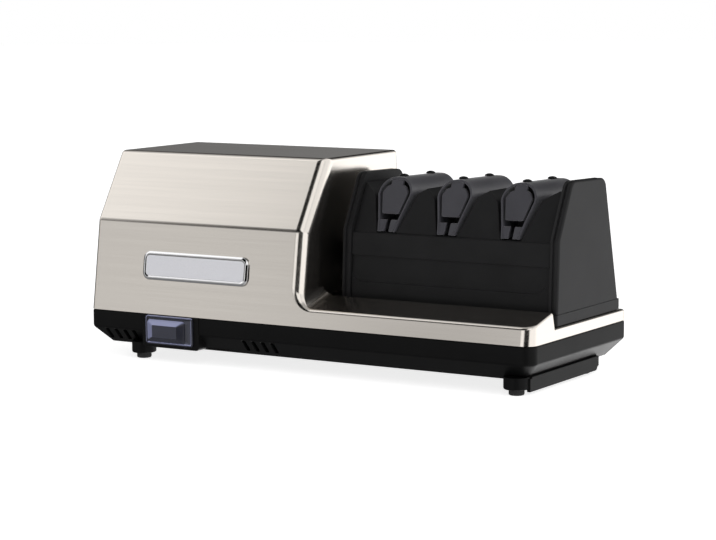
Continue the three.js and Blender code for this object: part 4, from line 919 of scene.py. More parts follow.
def rocker_piece():
    """A waisted paddle that lies with one end pressed in."""
    front = [(share * PADDLE_HALF, rise) for share, rise in PADDLE_FRONT]
    outline = [turned_by(u, -v, PADDLE_TILT) for u, v in (*front, *PADDLE_BACK)]
    middle_u, middle_v = (sum(values) / len(outline) for values in zip(*outline))
    bm = bmesh.new()
    solid(bm, [[at(SWITCH_X + middle_u + (u - middle_u) * share,
                   PADDLE_Y + middle_v + (v - middle_v) * share, SWITCH_Z + z) for u, v in outline]
               for share, z in PADDLE_SIDES])
    rocker = mesh_object("switch_paddle", bm)
    ease_edges(rocker, PADDLE_EASE * MM, angle=50.0)
    finish_piece(rocker, "rocker", ["rocker"], "switch_rocker")


# Sharpening module

PAN_TOP, CREASE_LOW, CREASE_MIDDLE, CREASE_HIGH = 56.6, 71.2, 91.8, 109.8
MODULE_LOW = PAN_TOP + 0.3

# End cheeks from the side
CHEEK_FOOT_FRONT, CHEEK_KINK, CHEEK_BROW_FRONT = 45.0, 48.1, 70.4
CHEEK_BROW_REAR, CHEEK_FOOT_REAR = 127.4, 150.5
CHEEK_TOP_FRONT, CHEEK_TOP_REAR = 155.8, 154.4
CHEEK_ROUNDS, CHEEK_LEAST_ROUND = (0.3, 9, 9, 8, 0.3), 0.2

# The rim of each cheek across its thickness: place along X, and distance in from its outline
LEFT_CHEEK_RIM = ((0, 1.3), (0.3, 0.45), (1.0, 0), (2.1, 0), (2.6, 0.35), (2.9, 1.3), (4.3, 1.3),
                  (4.6, 0.35), (5.0, 0), (7.2, 0), (7.75, 0.3), (8, 0.9))
RIGHT_CHEEK_RIM = ((0, 0.9), (0.25, 0.3), (0.8, 0), (2.2, 0), (2.5, 0.5), (2.7, 1.3), (3.9, 1.3),
                   (4.2, 0.5), (4.6, 0.05), (6.4, 0.0), (7.1, 0.3), (7.7, 1.0), (8, 1.9))

# Where each cheek starts along X, and the reach of the seat for its bearing
LEFT_CHEEK, LEFT_SEAT = 216.2, (215.0, 225.5)
RIGHT_CHEEK, RIGHT_SEAT = 400.0, (399.0, 406.3)
SEAT_RADIUS = 9.3

# Body between the cheeks: how far its front lies behind the cheeks' at each crease, and its top and rear
BODY_START, BODY_END, BODY_WALL = 224.5, 399.7, 2.6
LOW_SETBACK, BAND_SETBACK_LOW, BAND_SETBACK_HIGH, SLOPE_SETBACK = 1.8, 1.1, 1.5, 3.0
BODY_TOP, BODY_BROW_FRONT, BODY_BROW_REAR, BODY_FOOT_REAR = 147.6, 70.6, 125.6, 148.7
CAVITY_TOP, CAVITY_TOP_SETBACK, CAVITY_TOP_REAR = 107.4, 5.3, 133.2

# Dish pressed into the front, open at the body's left end and at its middle crease
DISH_FRONT, DISH_DEPTH, DISH_ROUND, DISH_SHARP, DISH_OVERLAP, DISH_END = -6, 2.75, 11, 0.01, 0.02, 2.2

# Notches, with reaches to the left and right of their centres, and the posts that carry the guides
NOTCH_FLOOR, NOTCH_LEAD, NOTCH_LEAD_RISE, NOTCH_TOP, NOTCH_FLOOR_HALF = 110.3, 137.5, 3.1, 150.4, 8.7
NOTCH_LEFT_LEAD, NOTCH_LEFT_TOP, NOTCH_RIGHT_LEAD, NOTCH_RIGHT_TOP = 18.4, 32.0, 19.2, 37.3
POST_HALF, POST_FRONT, POST_REAR, POST_TOP = 5, 73, 127, 148.2

# Openings in the notch floor for the disks, and in the end walls for the spindle
WINDOW_NEAR, WINDOW_FAR, WINDOW_REACH, WINDOW_LOW, WINDOW_HIGH = 8.9, 17.2, 22, 106.4, 119.3
SPINDLE_NOTCH_X, SPINDLE_NOTCH_Y, SPINDLE_NOTCH_RISE = 3.6, 16, 14

# Tray under the module: its outline, and its rings as distance in from the outline and height
PAN_LEFT, PAN_RIGHT, PAN_FRONT, PAN_REAR, PAN_ROUND, PAN_LEAST_ROUND = 216.2, 408, 43.8, 154.3, 3, 0.4
PAN_RINGS = ((1.0, 47.8), (0.3, 48.1), (0, 48.9), (0, 56.2), (0.1, 56.5), (0.4, PAN_TOP), (2.4, PAN_TOP),
             (2.6, 56.4), (2.8, 50.45), (2.9, 50.4))
# Faces of the tray's right end past this place, and turned along X towards the light by more than this, take
# the lit copy of the black moulding
PAN_END, PAN_LIT_FACING = 407, 0.8


def cheek_outline(lowered):
    """The cheek from the side, its two sides drawn on below its foot."""
    front = lowered * (CHEEK_KINK - CHEEK_FOOT_FRONT) / (KINK_HEIGHT - MODULE_LOW)
    rear = lowered * (CHEEK_FOOT_REAR - CHEEK_BROW_REAR) / (CHEEK_TOP_REAR - MODULE_LOW)
    return [(CHEEK_FOOT_FRONT - front, MODULE_LOW - lowered), (CHEEK_KINK, KINK_HEIGHT),
            (CHEEK_BROW_FRONT, CHEEK_TOP_FRONT), (CHEEK_BROW_REAR, CHEEK_TOP_REAR),
            (CHEEK_FOOT_REAR + rear, MODULE_LOW - lowered)]


def cheek_ring(x, distance):
    radii = [max(radius - distance, CHEEK_LEAST_ROUND) for radius in CHEEK_ROUNDS]
    return across_x(rounded(inset(cheek_outline(distance), distance), radii, 8), x)


def bearing_seat(bm, x0, x1):
    solid(bm, turned([(0, SEAT_RADIUS), (x1 - x0, SEAT_RADIUS)], (x0, SHAFT_Y, SHAFT_Z), "X", 40))


def cheek_piece(side, start, rim, seat, look):
    """An end cheek with a grooved rim, and a seat for the spindle's bearing."""
    bm = bmesh.new()
    solid(bm, [cheek_ring(start + x, distance) for x, distance in rim])
    cheek = mesh_object(side + "_cheek_cover", bm)
    combine(cheek, [body_of_faces(bearing_seat, *seat)])
    finish_piece(cheek, "module", [look], "module_" + side + "_cheek", angle=35.0)


def cheek_pieces():
    cheek_piece("left", LEFT_CHEEK, LEFT_CHEEK_RIM, LEFT_SEAT, "black")
    # The right cheek faces the light and takes the lit copy of the black moulding
    cheek_piece("right", RIGHT_CHEEK, RIGHT_CHEEK_RIM, RIGHT_SEAT, "cheek")


def front_at(z):
    """The plane of the cheeks' front at a height."""
    share = (z - MODULE_LOW) / (KINK_HEIGHT - MODULE_LOW)
    return CHEEK_FOOT_FRONT + (CHEEK_KINK - CHEEK_FOOT_FRONT) * share


def module_blank(bm):
    outline = [
        (front_at(MODULE_LOW) + LOW_SETBACK, MODULE_LOW),
        (front_at(CREASE_MIDDLE) + LOW_SETBACK, CREASE_MIDDLE),
        (front_at(CREASE_MIDDLE) + BAND_SETBACK_LOW, CREASE_MIDDLE),
        (front_at(CREASE_HIGH) + BAND_SETBACK_HIGH, CREASE_HIGH),
        (front_at(CREASE_HIGH) + SLOPE_SETBACK, CREASE_HIGH), (BODY_BROW_FRONT, BODY_TOP),
        (BODY_BROW_REAR, BODY_TOP), (BODY_FOOT_REAR, MODULE_LOW),
    ]
    solid(bm, [across_x(outline, x) for x in (BODY_START, BODY_END)])


def module_cavity(bm):
    """The room under the notches for the spindle and its disks."""
    outline = [(front_at(MODULE_LOW) + LOW_SETBACK + BODY_WALL, MODULE_LOW - OVERRUN),
               (front_at(CREASE_MIDDLE) + CAVITY_TOP_SETBACK, CAVITY_TOP), (CAVITY_TOP_REAR, CAVITY_TOP),
               (BODY_FOOT_REAR - BODY_WALL, MODULE_LOW - OVERRUN)]
    solid(bm, [across_x(outline, x) for x in (BODY_START + BODY_WALL, BODY_END - BODY_WALL)])


def dish(bm):
    outline = rounded(rectangle(BODY_START - OVERRUN, BODY_END - DISH_END, CREASE_LOW,
                                CREASE_MIDDLE + DISH_OVERLAP),
                      [DISH_ROUND, DISH_ROUND, DISH_SHARP, DISH_SHARP], 12)
    solid(bm, [[at(x, front_at(z) + depth, z) for x, z in outline] for depth in (DISH_FRONT, DISH_DEPTH)])


def notch(bm, centre):
    outline = [(centre - NOTCH_FLOOR_HALF, NOTCH_FLOOR), (centre + NOTCH_FLOOR_HALF, NOTCH_FLOOR),
               (centre + NOTCH_RIGHT_LEAD, NOTCH_LEAD + NOTCH_LEAD_RISE),
               (centre + NOTCH_RIGHT_TOP, NOTCH_TOP), (centre - NOTCH_LEFT_TOP, NOTCH_TOP),
               (centre - NOTCH_LEFT_LEAD, NOTCH_LEAD)]
    solid(bm, [across_y(outline, y) for y in (0, DEPTH)])


def posts(bm):
    for centre in STAGES:
        block(bm, centre - POST_HALF, centre + POST_HALF, POST_FRONT, POST_REAR, CAVITY_TOP, POST_TOP)


def disk_windows(bm):
    for centre in STAGES:
        for near, far in ((WINDOW_NEAR, WINDOW_FAR), (-WINDOW_FAR, -WINDOW_NEAR)):
            block(bm, centre + near, centre + far, SHAFT_Y - WINDOW_REACH, SHAFT_Y + WINDOW_REACH,
                  WINDOW_LOW, WINDOW_HIGH)


def end_notches(bm):
    """Wide notches in both end walls, by which the spindle goes in from below."""
    for x in (BODY_START, BODY_END):
        block(bm, x - SPINDLE_NOTCH_X, x + SPINDLE_NOTCH_X, SHAFT_Y - SPINDLE_NOTCH_Y,
              SHAFT_Y + SPINDLE_NOTCH_Y, MODULE_LOW - OVERRUN, SHAFT_Z + SPINDLE_NOTCH_RISE)


def module_body_piece():
    sizes = bpy.context.scene.sharpener_mouldings
    body = body_of_faces(module_blank)
    combine(body, [body_of_faces(dish)] + [body_of_faces(notch, centre) for centre in STAGES])
    ease_edges(body, sizes.edge_round, angle=30.0)
    combine(body, [body_of_faces(module_cavity)])
    combine(body, [body_of_faces(posts)], "UNION")
    combine(body, [body_of_faces(disk_windows), body_of_faces(end_notches)])
    body.name = "module_body"
    finish_piece(body, "module", ["black"], "module_housing", angle=35.0)


def pan_piece():
    """The tray, whose right end shows below the right cheek in the cheek's own finish."""
    def ring(distance, z):
        outline = rectangle(PAN_LEFT + distance, PAN_RIGHT - distance, PAN_FRONT + distance,
                            PAN_REAR - distance)
        return across_z(rounded(outline, max(PAN_ROUND - distance, PAN_LEAST_ROUND), 6), z)

    bm = bmesh.new()
    solid(bm, [ring(distance, z) for distance, z in PAN_RINGS])
    pan = mesh_object("module_tray", bm)
    for face in pan.data.polygons:
        if face.normal.x > PAN_LIT_FACING and drawn(face.center)[0] > PAN_END:
            face.material_index = 1
    finish_piece(pan, "module", ["black", "cheek"], "module_pan")


# Guide springs

ARCH_LOW, TOE_TOP, ARCH_WIDE, ARCH_TOP = 111.3, 120.1, 139.2, 152.9
ARCH_WALL, FOOT_FRONT, ROOF_FRONT, ARCH_REAR, ROOF_FALL = 1.7, 50.4, 70.8, 136.0, 1.3
ARCH_FOOT_HALF, ARCH_TOE_HALF, ARCH_HALF, ARCH_ROUND = 8.0, 9.8, 15.2, 13.4
GUIDE_EASE = 0.35
ROOF_SLOPE = ROOF_FALL / (ARCH_REAR - ROOF_FRONT)
FRONT_LEAN = (ROOF_FRONT - FOOT_FRONT) / (ARCH_TOP - ARCH_LOW)
WING_LEAN = (ARCH_TOE_HALF - ARCH_FOOT_HALF) / (TOE_TOP - ARCH_LOW)

# Right half of the shield, from its foot up its edge to its neck: reach, height, rounding
TONGUE_HALF = ((7.6, 124.6, 1.8), (11.6, 141.0, 3.4), (8.5, 145.6, 3.4), (5.3, 146.9, 0.8),
               (5.3, ARCH_TOP - ARCH_WALL / 2, 0))
TONGUE_DEPTHS = (0.15, 2.8)
TOE_NEAR, TOE_FAR, TOE_FAR_HIGH, TOE_DEPTHS = 1.9, 7.0, 8.8, (0.25, 2.5)
TOE_LOW_FRONT, TOE_LOW_REAR = 111.1, 112.7

# Screws on the roof: holes, and the domed head on its shank
RIDGE_HOLES, RIDGE_HOLE_RADIUS, RIDGE_HOLE_SPAN = (79, 121), 2, (146, 155)
SCREW_HEAD, SCREW_CROWN, SCREW_SHANK, SCREW_TIP, SCREW_STEPS = 3.9, 2.0, 1.6, 1.0, 8
SCREW_RISE, SCREW_TAPER, SCREW_POLE = 1.5, 0.6, 0.3
SCREW_EASE, SCREW_EDGE, SCREW_EDGE_RISE = 0.3, 0.05, 0.15


def front_edge(v, depth):
    """Setback of a guide's leaning front plane, or of one behind it, at a height of its front view."""
    return (FOOT_FRONT + depth + FRONT_LEAN * (v - ARCH_LOW + ROOF_SLOPE * ROOF_FRONT)) \
        / (1 + FRONT_LEAN * ROOF_SLOPE)


def rear_edge(v, depth):
    return ARCH_REAR - depth


def spring_ring(centre, outline, edge, depth):
    """The front view at a depth behind the front plane or before the rear one, under a falling roof."""
    ring = []
    for u, v in outline:
        y = edge(v, depth)
        ring.append(at(centre + u, y, v - ROOF_SLOPE * (y - ROOF_FRONT)))
    return ring


def arch_section(distance, y):
    """Front view of the arch, its wings drawn together at the foot, from the left foot up and over."""
    outline = [(-ARCH_FOOT_HALF, ARCH_LOW), (ARCH_FOOT_HALF, ARCH_LOW), (ARCH_TOE_HALF, TOE_TOP),
               (ARCH_HALF, ARCH_WIDE), (ARCH_HALF, ARCH_TOP), (-ARCH_HALF, ARCH_TOP),
               (-ARCH_HALF, ARCH_WIDE), (-ARCH_TOE_HALF, TOE_TOP)]
    drawn_in = inset(outline, distance)
    low = ARCH_LOW + ROOF_SLOPE * (y - ROOF_FRONT)
    foot = ARCH_FOOT_HALF + WING_LEAN * (low - ARCH_LOW) - distance * math.hypot(1, WING_LEAN)
    drawn_in[0], drawn_in[1] = (-foot, low), (foot, low)
    shoulder = ARCH_ROUND - distance
    full = rounded(drawn_in, [0, 0, 0, 0, shoulder, shoulder, 0, 0], 12)
    return full[1:] + full[:1]


def arch_shell(bm, centre):
    """A thin bent sheet, its thickness drawn between an outer and an inner section."""
    solid(bm, [spring_ring(centre, arch_section(0, y) + arch_section(ARCH_WALL, y)[::-1], edge, 0)
               for edge, y in ((front_edge, FOOT_FRONT), (rear_edge, ARCH_REAR))])


def tongue_plate(bm, centre, edge):
    """A shield that hangs from the roof by a narrower neck."""
    left = [(-u, v, radius) for u, v, radius in TONGUE_HALF[::-1]]
    whole = [left[-1], *TONGUE_HALF, *left[:-1]]
    outline = rounded([(u, v) for u, v, _ in whole], [radius for _, _, radius in whole], 6)
    solid(bm, [spring_ring(centre, outline, edge, depth) for depth in TONGUE_DEPTHS])


def toe_plate(bm, centre, edge, side):
    low = TOE_LOW_REAR if edge is rear_edge else TOE_LOW_FRONT
    outline = [(side * TOE_NEAR, low), (side * TOE_FAR, low), (side * TOE_FAR_HIGH, TOE_TOP),
               (side * TOE_NEAR, TOE_TOP)]
    solid(bm, [spring_ring(centre, outline, edge, depth) for depth in TOE_DEPTHS])


def ridge_holes(bm, centre):
    for y in RIDGE_HOLES:
        solid(bm, turned([(z, RIDGE_HOLE_RADIUS) for z in RIDGE_HOLE_SPAN], (centre, y, 0), "Z", 20))


def guide_pieces():
    for number, centre in enumerate(STAGES, 1):
        guide = body_of_faces(arch_shell, centre)
        for edge in (front_edge, rear_edge):
            plates = [body_of_faces(tongue_plate, centre, edge)]
            plates += [body_of_faces(toe_plate, centre, edge, side) for side in (-1, 1)]
            combine(guide, plates, "UNION")
        ease_edges(guide, GUIDE_EASE * MM, angle=30.0)
        combine(guide, [body_of_faces(ridge_holes, centre)])
        guide.name = f"blade_guide_{number}"
        finish_piece(guide, "module", ["guide"], f"guide_spring_{number}", angle=35.0)


def ridge_screw_pieces():
    for number in range(1, 2 * len(STAGES) + 1):
        node = f"ridge_screw_{number}"
        low, high = drawn_box(node)
        seat = high[2] - SCREW_RISE
        profile = [(low[2], SCREW_TIP), (low[2] + SCREW_TAPER, SCREW_SHANK), (seat, SCREW_SHANK),
                   (seat, SCREW_HEAD - SCREW_EASE), (seat + SCREW_EDGE_RISE, SCREW_HEAD - SCREW_EDGE)]
        for k in range(1, SCREW_STEPS):
            angle = math.pi / 2 * k / SCREW_STEPS
            profile.append((seat + SCREW_CROWN * math.sin(angle), SCREW_HEAD * math.cos(angle)))
        profile.append((seat + SCREW_CROWN, SCREW_POLE))
        bm = bmesh.new()
        solid(bm, turned(profile, middle_of(node), "Z", 32))
        screw = mesh_object(f"ridge_screw_head_{number}", bm)
        finish_piece(screw, "module", ["black"], node)


# Working parts

SIDES = (("left", -1), ("right", 1))

# An abrasive disk from its bore over its grit face and rim to its hub: depth behind the face, and radius
DISK_FACE = 9.8
DISK_PROFILE = ((0.25, 5.3), (0, 5.6), (0, 26.6), (0.15, 27.1), (1.35, 29.7), (1.7, 30), (2.7, 30),
                (3, 29.7), (3, 12.6), (3.2, 12.2), (3.6, 12), (4.7, 12), (5, 11.7), (5, 5.6), (4.75, 5.3))

# A disk's spring, measured from its stage's centre, and how far the disk squeezes it
SPRING_START, SPRING_LENGTH, SPRING_RADIUS, SPRING_WIRE, DISK_TRAVEL = 15.1, 8.0, 8.2, 0.6, 1.5
SPRING_TURNS, SPRING_STEPS, SPRING_SIDES = 3, 28, 10

# The windings' end turns, bundles of wire in layers, waved a little as they enter the slots
COIL_RADII, COIL_ROWS, COIL_OVERLAP, COIL_LOBES, COIL_WAVE = (28.4, 31.5, 34.6), 3, 1.02, 12, 0.14
COIL_ALONG_SHARE, COIL_OUTWARD_SHARE, COIL_STEPS, COIL_SIDES = 0.97, 0.98, 96, 8

# Finishes of the CAD solids that stay in view
CARRIED = {
    "switch_body": "black", "cord_inlet": "rubber", "motor_cradle": "casting", "end_bell_left": "casting",
    "end_bell_right": "casting", "stator_stack": "laminations", "motor_shaft": "turned",
    "rotor_core": "laminations", "cooling_fan": "fan", "bearing_left": "turned", "bearing_right": "turned",
    "drive_coupling": "fan", "driven_coupling": "guide", "spindle_shaft": "turned",
    "spindle_bearing_left": "bronze", "spindle_bearing_right": "bronze", "motor_mount_1": "rubber",
    "motor_mount_2": "rubber", "motor_mount_3": "rubber", "motor_mount_4": "rubber",
}


def disk_pieces():
    """Each disk: flat grit face, bevelled rim and a hub behind."""
    for stage, centre in enumerate(STAGES, 1):
        for label, side in SIDES:
            profile = [(side * (DISK_FACE + depth), radius) for depth, radius in DISK_PROFILE]
            bm = bmesh.new()
            strip(bm, turned(profile, (centre, SHAFT_Y, SHAFT_Z), "X", 64), meets_itself=True)
            disk = mesh_object(f"abrasive_disk_{stage}_{label}", bm)
            finish_piece(disk, f"abrasive_{stage}_{label}", ["grit"], f"disk_{stage}_{label}")


def coil_ring(centre, side, share):
    """Section of the spring's wire at a share of its length."""
    angle = 2 * math.pi * SPRING_TURNS * share
    rise = SPRING_START + SPRING_WIRE + (SPRING_LENGTH - 2 * SPRING_WIRE) * share
    return [at(centre + side * (rise + u), SHAFT_Y + (SPRING_RADIUS + v) * math.cos(angle),
               SHAFT_Z + (SPRING_RADIUS + v) * math.sin(angle)) for u, v in circle(SPRING_WIRE, SPRING_SIDES)]


def disk_spring_pieces():
    """Helical springs between each disk and its collar, squeezed as the disk slides out."""
    count = SPRING_TURNS * SPRING_STEPS
    for stage, centre in enumerate(STAGES, 1):
        for label, side in SIDES:
            bm = bmesh.new()
            solid(bm, [coil_ring(centre, side, k / count) for k in range(count + 1)])
            spring = mesh_object(f"disk_coil_{stage}_{label}", bm)
            finish_piece(spring, "spindle", ["spring"], f"disk_spring_{stage}_{label}")
            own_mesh(spring)


def ring_wire(bm, x, radius, wire, lobes):
    """One bundle of wire round the motor's axis."""
    rings = []
    for k in range(COIL_STEPS):
        angle = 2 * math.pi * k / COIL_STEPS
        ring = []
        for u, v in circle(wire, COIL_SIDES):
            reach = radius + v * COIL_OUTWARD_SHARE + COIL_WAVE * math.sin(lobes * angle)
            ring.append(at(x + u * COIL_ALONG_SHARE, SHAFT_Y + reach * math.cos(angle),
                           SHAFT_Z + reach * math.sin(angle)))
        rings.append(ring)
    strip(bm, rings, meets_itself=True)


def winding_pieces():
    """Copper end turns, drawn as bundles of wire round the bore."""
    for label, _ in SIDES:
        low, high = drawn_box("winding_" + label)
        room = (high[0] - low[0]) / COIL_ROWS
        bm = bmesh.new()
        for layer, radius in enumerate(COIL_RADII):
            for k in range(COIL_ROWS):
                ring_wire(bm, low[0] + room * (k + 0.5), radius, room / 2 * COIL_OVERLAP, COIL_LOBES + layer)
        coil = mesh_object(f"winding_coil_{label}", bm)
        finish_piece(coil, "root", ["copper"], "winding_" + label)


def dress_carried_nodes():
    """Gives the CAD solids that stay in view their procedural finishes."""
    for node, look in CARRIED.items():
        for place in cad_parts[node].material_slots:
            place.material = finish(look)


# Studio

# Light from each side: degrees round the object from the front, growing towards the knife end, and strength
GROUND_LIGHT = ((-180, 3.0), (-160, 3.0), (-130, 0.2), (-20, 0.2), (20, 0.4), (80, 1.0), (160, 1.0),
                (172, 2.6), (180, 3.0))
HORIZON_LIGHT = ((-180, 0.03), (-165, 0.05), (-151, 0.2), (-125, 0.1), (-85, 0.1), (-55, 0.5),
                 (-42, 0.66), (-36, 0.75), (-33.5, 0.82), (-30.5, 0.4), (-27.5, 0.4), (-24, 0.9),
                 (-18, 1.15), (1, 1.15), (6, 0.0), (43, 0.0), (49, 1.2), (100, 1.2), (130, 1.45),
                 (163, 1.45), (173, 0.1), (180, 0.03))
UPPER_LIGHT = ((-180, 0.02), (-140, 0.03), (-95, 0.7), (-70, 1.2), (-56, 1.2), (-49, 0.93), (-44, 0.5),
               (-40, 0.0), (14, 0.0), (22, 1.1), (58, 1.1), (64, 0.65), (70, 1.0), (148, 1.0),
               (162, 0.5), (172, 0.03), (180, 0.02))
CEILING_LIGHT = 0.45

# Where one band of light goes over into the next, as sines of two heights
HORIZON_EDGE, UPPER_EDGE, CEILING_EDGE = (-0.32, -0.16), (0.18, 0.36), (0.82, 0.92)
WHITE = (1, 1, 1, 1)
FLOOR_RADIUS, FLOOR_SIDES, FLOOR_ROUGHNESS, FLOOR_GRAIN, FLOOR_TONES = 9.0, 64, 0.9, 3.0, (0.995, 1.0)
SENSOR_WIDTH, CLIP_NEAR, CLIP_FAR = 36.0, 0.05, 60.0


def studio_world():
    """Soft panels round the object: a large one at the front left, dark gaps between and above them."""
    look = bpy.context.scene.sharpener_studio
    world = bpy.data.worlds.new("soft_studio")
    bpy.context.scene.world = world
    world.use_nodes = True
    nodes, links = world.node_tree.nodes, world.node_tree.links

    def calculate(operation, first, second):
        node = nodes.new("ShaderNodeMath")
        node.operation = operation
        for socket, value in zip(node.inputs, (first, second)):
            if isinstance(value, (int, float)):
                socket.default_value = value
            else:
                links.new(value, socket)
        return node.outputs[0]

    def ramp(source, stops):
        node = nodes.new("ShaderNodeValToRGB")
        node.color_ramp.interpolation = "EASE"
        elements = node.color_ramp.elements
        for element, (turn, value) in zip(elements, (stops[0], stops[-1])):
            element.position, element.color = turn / 360 + 0.5, (value,) * 3 + (1,)
        for turn, value in stops[1:-1]:
            elements.new(turn / 360 + 0.5).color = (value,) * 3 + (1,)
        links.new(source, node.inputs["Fac"])
        return node.outputs["Color"]

    def mix(factor, low, high):
        node = nodes.new("ShaderNodeMix")
        node.data_type = "RGBA"
        links.new(factor, node.inputs["Factor"])
        for socket, colour in zip(MIX_COLOURS, (low, high)):
            if isinstance(colour, tuple):
                node.inputs[socket].default_value = colour
            else:
                links.new(colour, node.inputs[socket])
        return node.outputs[MIXED_COLOUR]

    def blend(low, high, edge):
        """Runs from one colour to another between two heights, given as sines."""
        share = nodes.new("ShaderNodeMapRange")
        share.interpolation_type = "SMOOTHSTEP"
        share.inputs["From Min"].default_value, share.inputs["From Max"].default_value = edge
        links.new(split.outputs["Z"], share.inputs["Value"])
        return mix(share.outputs["Result"], low, high)

    split = nodes.new("ShaderNodeSeparateXYZ")
    links.new(nodes.new("ShaderNodeTexCoord").outputs["Generated"], split.inputs[0])
    # The side that a ray goes to, as a share of a turn
    forwards = calculate("MULTIPLY", split.outputs["Y"], -1)
    angle = calculate("ARCTAN2", split.outputs["X"], forwards)
    turn = calculate("ADD", calculate("DIVIDE", angle, 2 * math.pi), 0.5)
    ground, horizon, upper = (ramp(turn, stops) for stops in (GROUND_LIGHT, HORIZON_LIGHT, UPPER_LIGHT))
    walls = blend(blend(ground, horizon, HORIZON_EDGE), upper, UPPER_EDGE)
    sky = blend(walls, (CEILING_LIGHT,) * 3 + (1,), CEILING_EDGE)
    shown = mix(nodes.new("ShaderNodeLightPath").outputs["Is Camera Ray"], sky, WHITE)
    links.new(shown, nodes["Background"].inputs["Color"])
    nodes["Background"].inputs["Strength"].default_value = look.sky_strength


def studio_floor():
    """A white sweep that keeps a faint contact shadow and isn't mirrored in the gloss."""
    look = bpy.context.scene.sharpener_studio
    bm = bmesh.new()
    bm.faces.new([bm.verts.new((x, y, 0)) for x, y in circle(FLOOR_RADIUS, FLOOR_SIDES)])
    floor = mesh_object("studio_floor", bm)
    paper = Finish("floor_paper", look.floor_colour, FLOOR_ROUGHNESS)
    paper.tint(paper.noise(FLOOR_GRAIN), *FLOOR_TONES)
    paper.set(Emission_Color=WHITE, Emission_Strength=look.floor_glow)
    floor.data.materials.append(paper.material)
    floor.visible_glossy = False


def studio_camera():
    """A long lens from the front right, as in the photograph."""
    look = bpy.context.scene.sharpener_studio
    data = bpy.data.cameras.new("camera")
    data.lens, data.sensor_width = look.lens, SENSOR_WIDTH
    data.clip_start, data.clip_end = CLIP_NEAR, CLIP_FAR
    camera = bpy.data.objects.new("camera", data)
    bpy.context.scene.collection.objects.link(camera)
    turn = (Matrix.Rotation(look.camera_turn, 4, "Z") @ Matrix.Rotation(math.pi / 2 - look.camera_dip, 4, "X")
            @ Matrix.Rotation(look.camera_roll, 4, "Z"))
    camera.matrix_world = Matrix.Translation(look.camera_place) @ turn
    bpy.context.scene.camera = camera


# Settings

class CoverSizes(bpy.types.PropertyGroup):
    crease_round: FloatProperty(
        name="Crease", description="Rounding of the crease between the two front facets",
        default=0.0018, unit="LENGTH")
    brow_round: FloatProperty(
        name="Brow", description="Rounding of the upper edges and of the motor end",
        default=0.003, unit="LENGTH")
    end_round: FloatProperty(
        name="End wall", description="Rounding where the facets turn into the end wall",
        default=0.0092, unit="LENGTH")
    strip_round: FloatProperty(
        name="Strip", description="Rounding along the strip, the ramp and the platform",
        default=0.002, unit="LENGTH")


class MouldingSizes(bpy.types.PropertyGroup):
    edge_round: FloatProperty(
        name="Edges", description="Rounding of the moulded edges", default=0.0005, unit="LENGTH")


class FinishColours(bpy.types.PropertyGroup):
    steel_colour: FloatVectorProperty(
        name="Steel", description="Colour of the brushed cover",
        size=3, subtype="COLOR", min=0, max=1, default=(0.79, 0.742, 0.685))
    steel_roughness: FloatProperty(
        name="Steel roughness", description="How satin the cover is",
        subtype="FACTOR", min=0, max=1, default=0.19)
    moulding_colour: FloatVectorProperty(
        name="Black moulding", description="Colour of the base and module",
        size=3, subtype="COLOR", min=0, max=1, default=(0.008, 0.008, 0.0083))
    moulding_roughness: FloatProperty(
        name="Moulding roughness", description="How matt the black mouldings are",
        subtype="FACTOR", min=0, max=1, default=0.4)
    # Colour of the lit copy of the black moulding on the right cheek, which faces the light
    lit_cheek_colour: FloatVectorProperty(
        name="End cheek", description="Colour of the right end cheek",
        size=3, subtype="COLOR", min=0, max=1, default=(0.015, 0.015, 0.0157))
    guide_colour: FloatVectorProperty(
        name="Guides", description="Colour of the blade guides",
        size=3, subtype="COLOR", min=0, max=1, default=(0.054, 0.053, 0.062))
    plate_colour: FloatVectorProperty(
        name="Plate field", description="Colour of the bare nameplate field",
        size=3, subtype="COLOR", min=0, max=1, default=(0.8, 0.8, 0.84))
    boot_colour: FloatVectorProperty(
        name="Switch boot", description="Colour of the translucent boot",
        size=3, subtype="COLOR", min=0, max=1, default=(0.14, 0.15, 0.24))


class StudioSettings(bpy.types.PropertyGroup):
    camera_place: FloatVectorProperty(
        name="Camera place", description="Where the camera stands",
        size=3, subtype="TRANSLATION", default=(0.980, -1.5618, 0.3102))
    camera_turn: FloatProperty(
        name="Camera turn", description="Turn of the camera about the upright axis",
        subtype="ANGLE", default=math.radians(31.925))
    camera_dip: FloatProperty(
        name="Camera dip", description="How far the camera looks down",
        subtype="ANGLE", default=math.radians(7.272))
    camera_roll: FloatProperty(
        name="Camera roll", description="Roll of the camera about its view",
        subtype="ANGLE", default=math.radians(-0.362))
    lens: FloatProperty(
        name="Lens", description="Focal length of the camera", unit="CAMERA", default=115.64)
    sky_strength: FloatProperty(
        name="Surround", description="Strength of the soft surround", min=0, default=1.0)
    floor_colour: FloatVectorProperty(
        name="Floor", description="Colour of the paper floor",
        size=3, subtype="COLOR", min=0, max=1, default=(0.85, 0.85, 0.85))
    floor_glow: FloatProperty(
        name="Floor glow", description="How bright the floor is where it is shaded", min=0, default=0.8)


# Operators

def operator(idname, label, explanation, *tasks):
    """One operator for a piece or a group of like pieces."""
    def execute(self, context):
        for task in tasks:
            task()
        return {"FINISHED"}
    return type("SHARPENER_OT_" + idname, (bpy.types.Operator,), {
        "bl_idname": "sharpener." + idname, "bl_label": label, "__doc__": explanation, "execute": execute,
    })


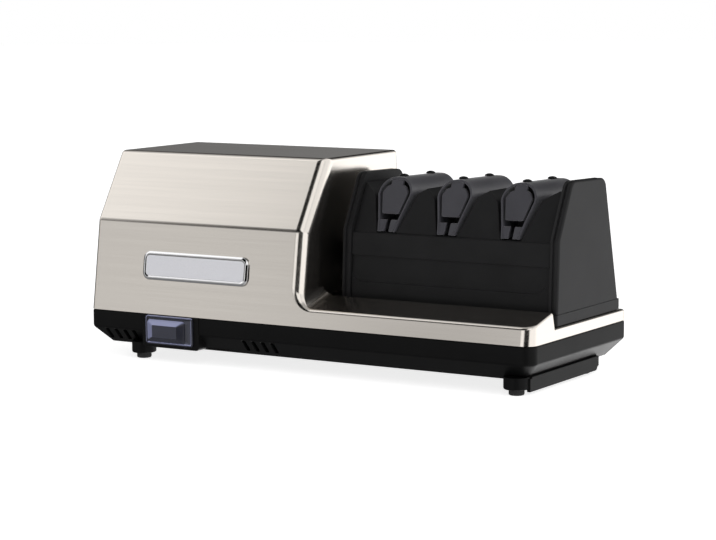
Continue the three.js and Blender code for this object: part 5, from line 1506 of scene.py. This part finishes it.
OPERATORS = (
    operator("camera", "Camera", "Places the camera", studio_camera),
    operator("stage", "Studio", "Lays the pale floor and sets the soft studio light", studio_world,
             studio_floor),
    operator("steel_cover", "Steel Cover", "Presses the brushed steel cover", cover_piece),
    operator("base_tub", "Base Tub", "Moulds the base with its vents and pod", base_piece),
    operator("feet", "Feet", "Turns the four rubber feet", foot_pieces),
    operator("nameplate", "Nameplate", "Makes the rimmed nameplate, left bare", plate_piece),
    operator("switch", "Switch", "Makes the switch boot and the rocker under it", boot_piece, rocker_piece),
    operator("module_body", "Module Body", "Moulds the module with its notches", module_body_piece),
    operator("cheeks", "Cheeks", "Moulds the two end cheeks", cheek_pieces),
    operator("module_tray", "Module Tray", "Moulds the tray under the module", pan_piece),
    operator("guides", "Blade Guides", "Moulds the three sprung guides", guide_pieces),
    operator("ridge_screws", "Ridge Screws", "Turns the domed screws on the guides", ridge_screw_pieces),
    operator("disks", "Abrasive Disks", "Turns the six abrasive disks", disk_pieces),
    operator("disk_springs", "Disk Springs", "Winds a spring behind each disk", disk_spring_pieces),
    operator("windings", "Windings", "Winds the copper end turns", winding_pieces),
    operator("finishes", "Inner Finishes", "Finishes the solids that stay in view", dress_carried_nodes),
)


class SHARPENER_PT_panel(bpy.types.Panel):
    """Lists the steps that build the sharpener"""
    bl_label = "Knife Sharpener"
    bl_space_type = "VIEW_3D"
    bl_region_type = "UI"
    bl_category = "Sharpener"

    def draw(self, context):
        for made in OPERATORS:
            self.layout.operator(made.bl_idname)


SETTINGS = {
    "sharpener_cover": CoverSizes, "sharpener_mouldings": MouldingSizes,
    "sharpener_finishes": FinishColours, "sharpener_studio": StudioSettings,
}
CLASSES = (*SETTINGS.values(), *OPERATORS, SHARPENER_PT_panel)


def register():
    for made in CLASSES:
        bpy.utils.register_class(made)
    for name, settings in SETTINGS.items():
        setattr(bpy.types.Scene, name, PointerProperty(type=settings))


def unregister():
    for name in SETTINGS:
        delattr(bpy.types.Scene, name)
    for made in reversed(CLASSES):
        bpy.utils.unregister_class(made)


def main():
    register()
    bpy.context.scene.view_settings.view_transform = "Standard"
    for made in OPERATORS:
        group, name = made.bl_idname.split(".")
        getattr(getattr(bpy.ops, group), name)()


if __name__ == "__main__":
    main()
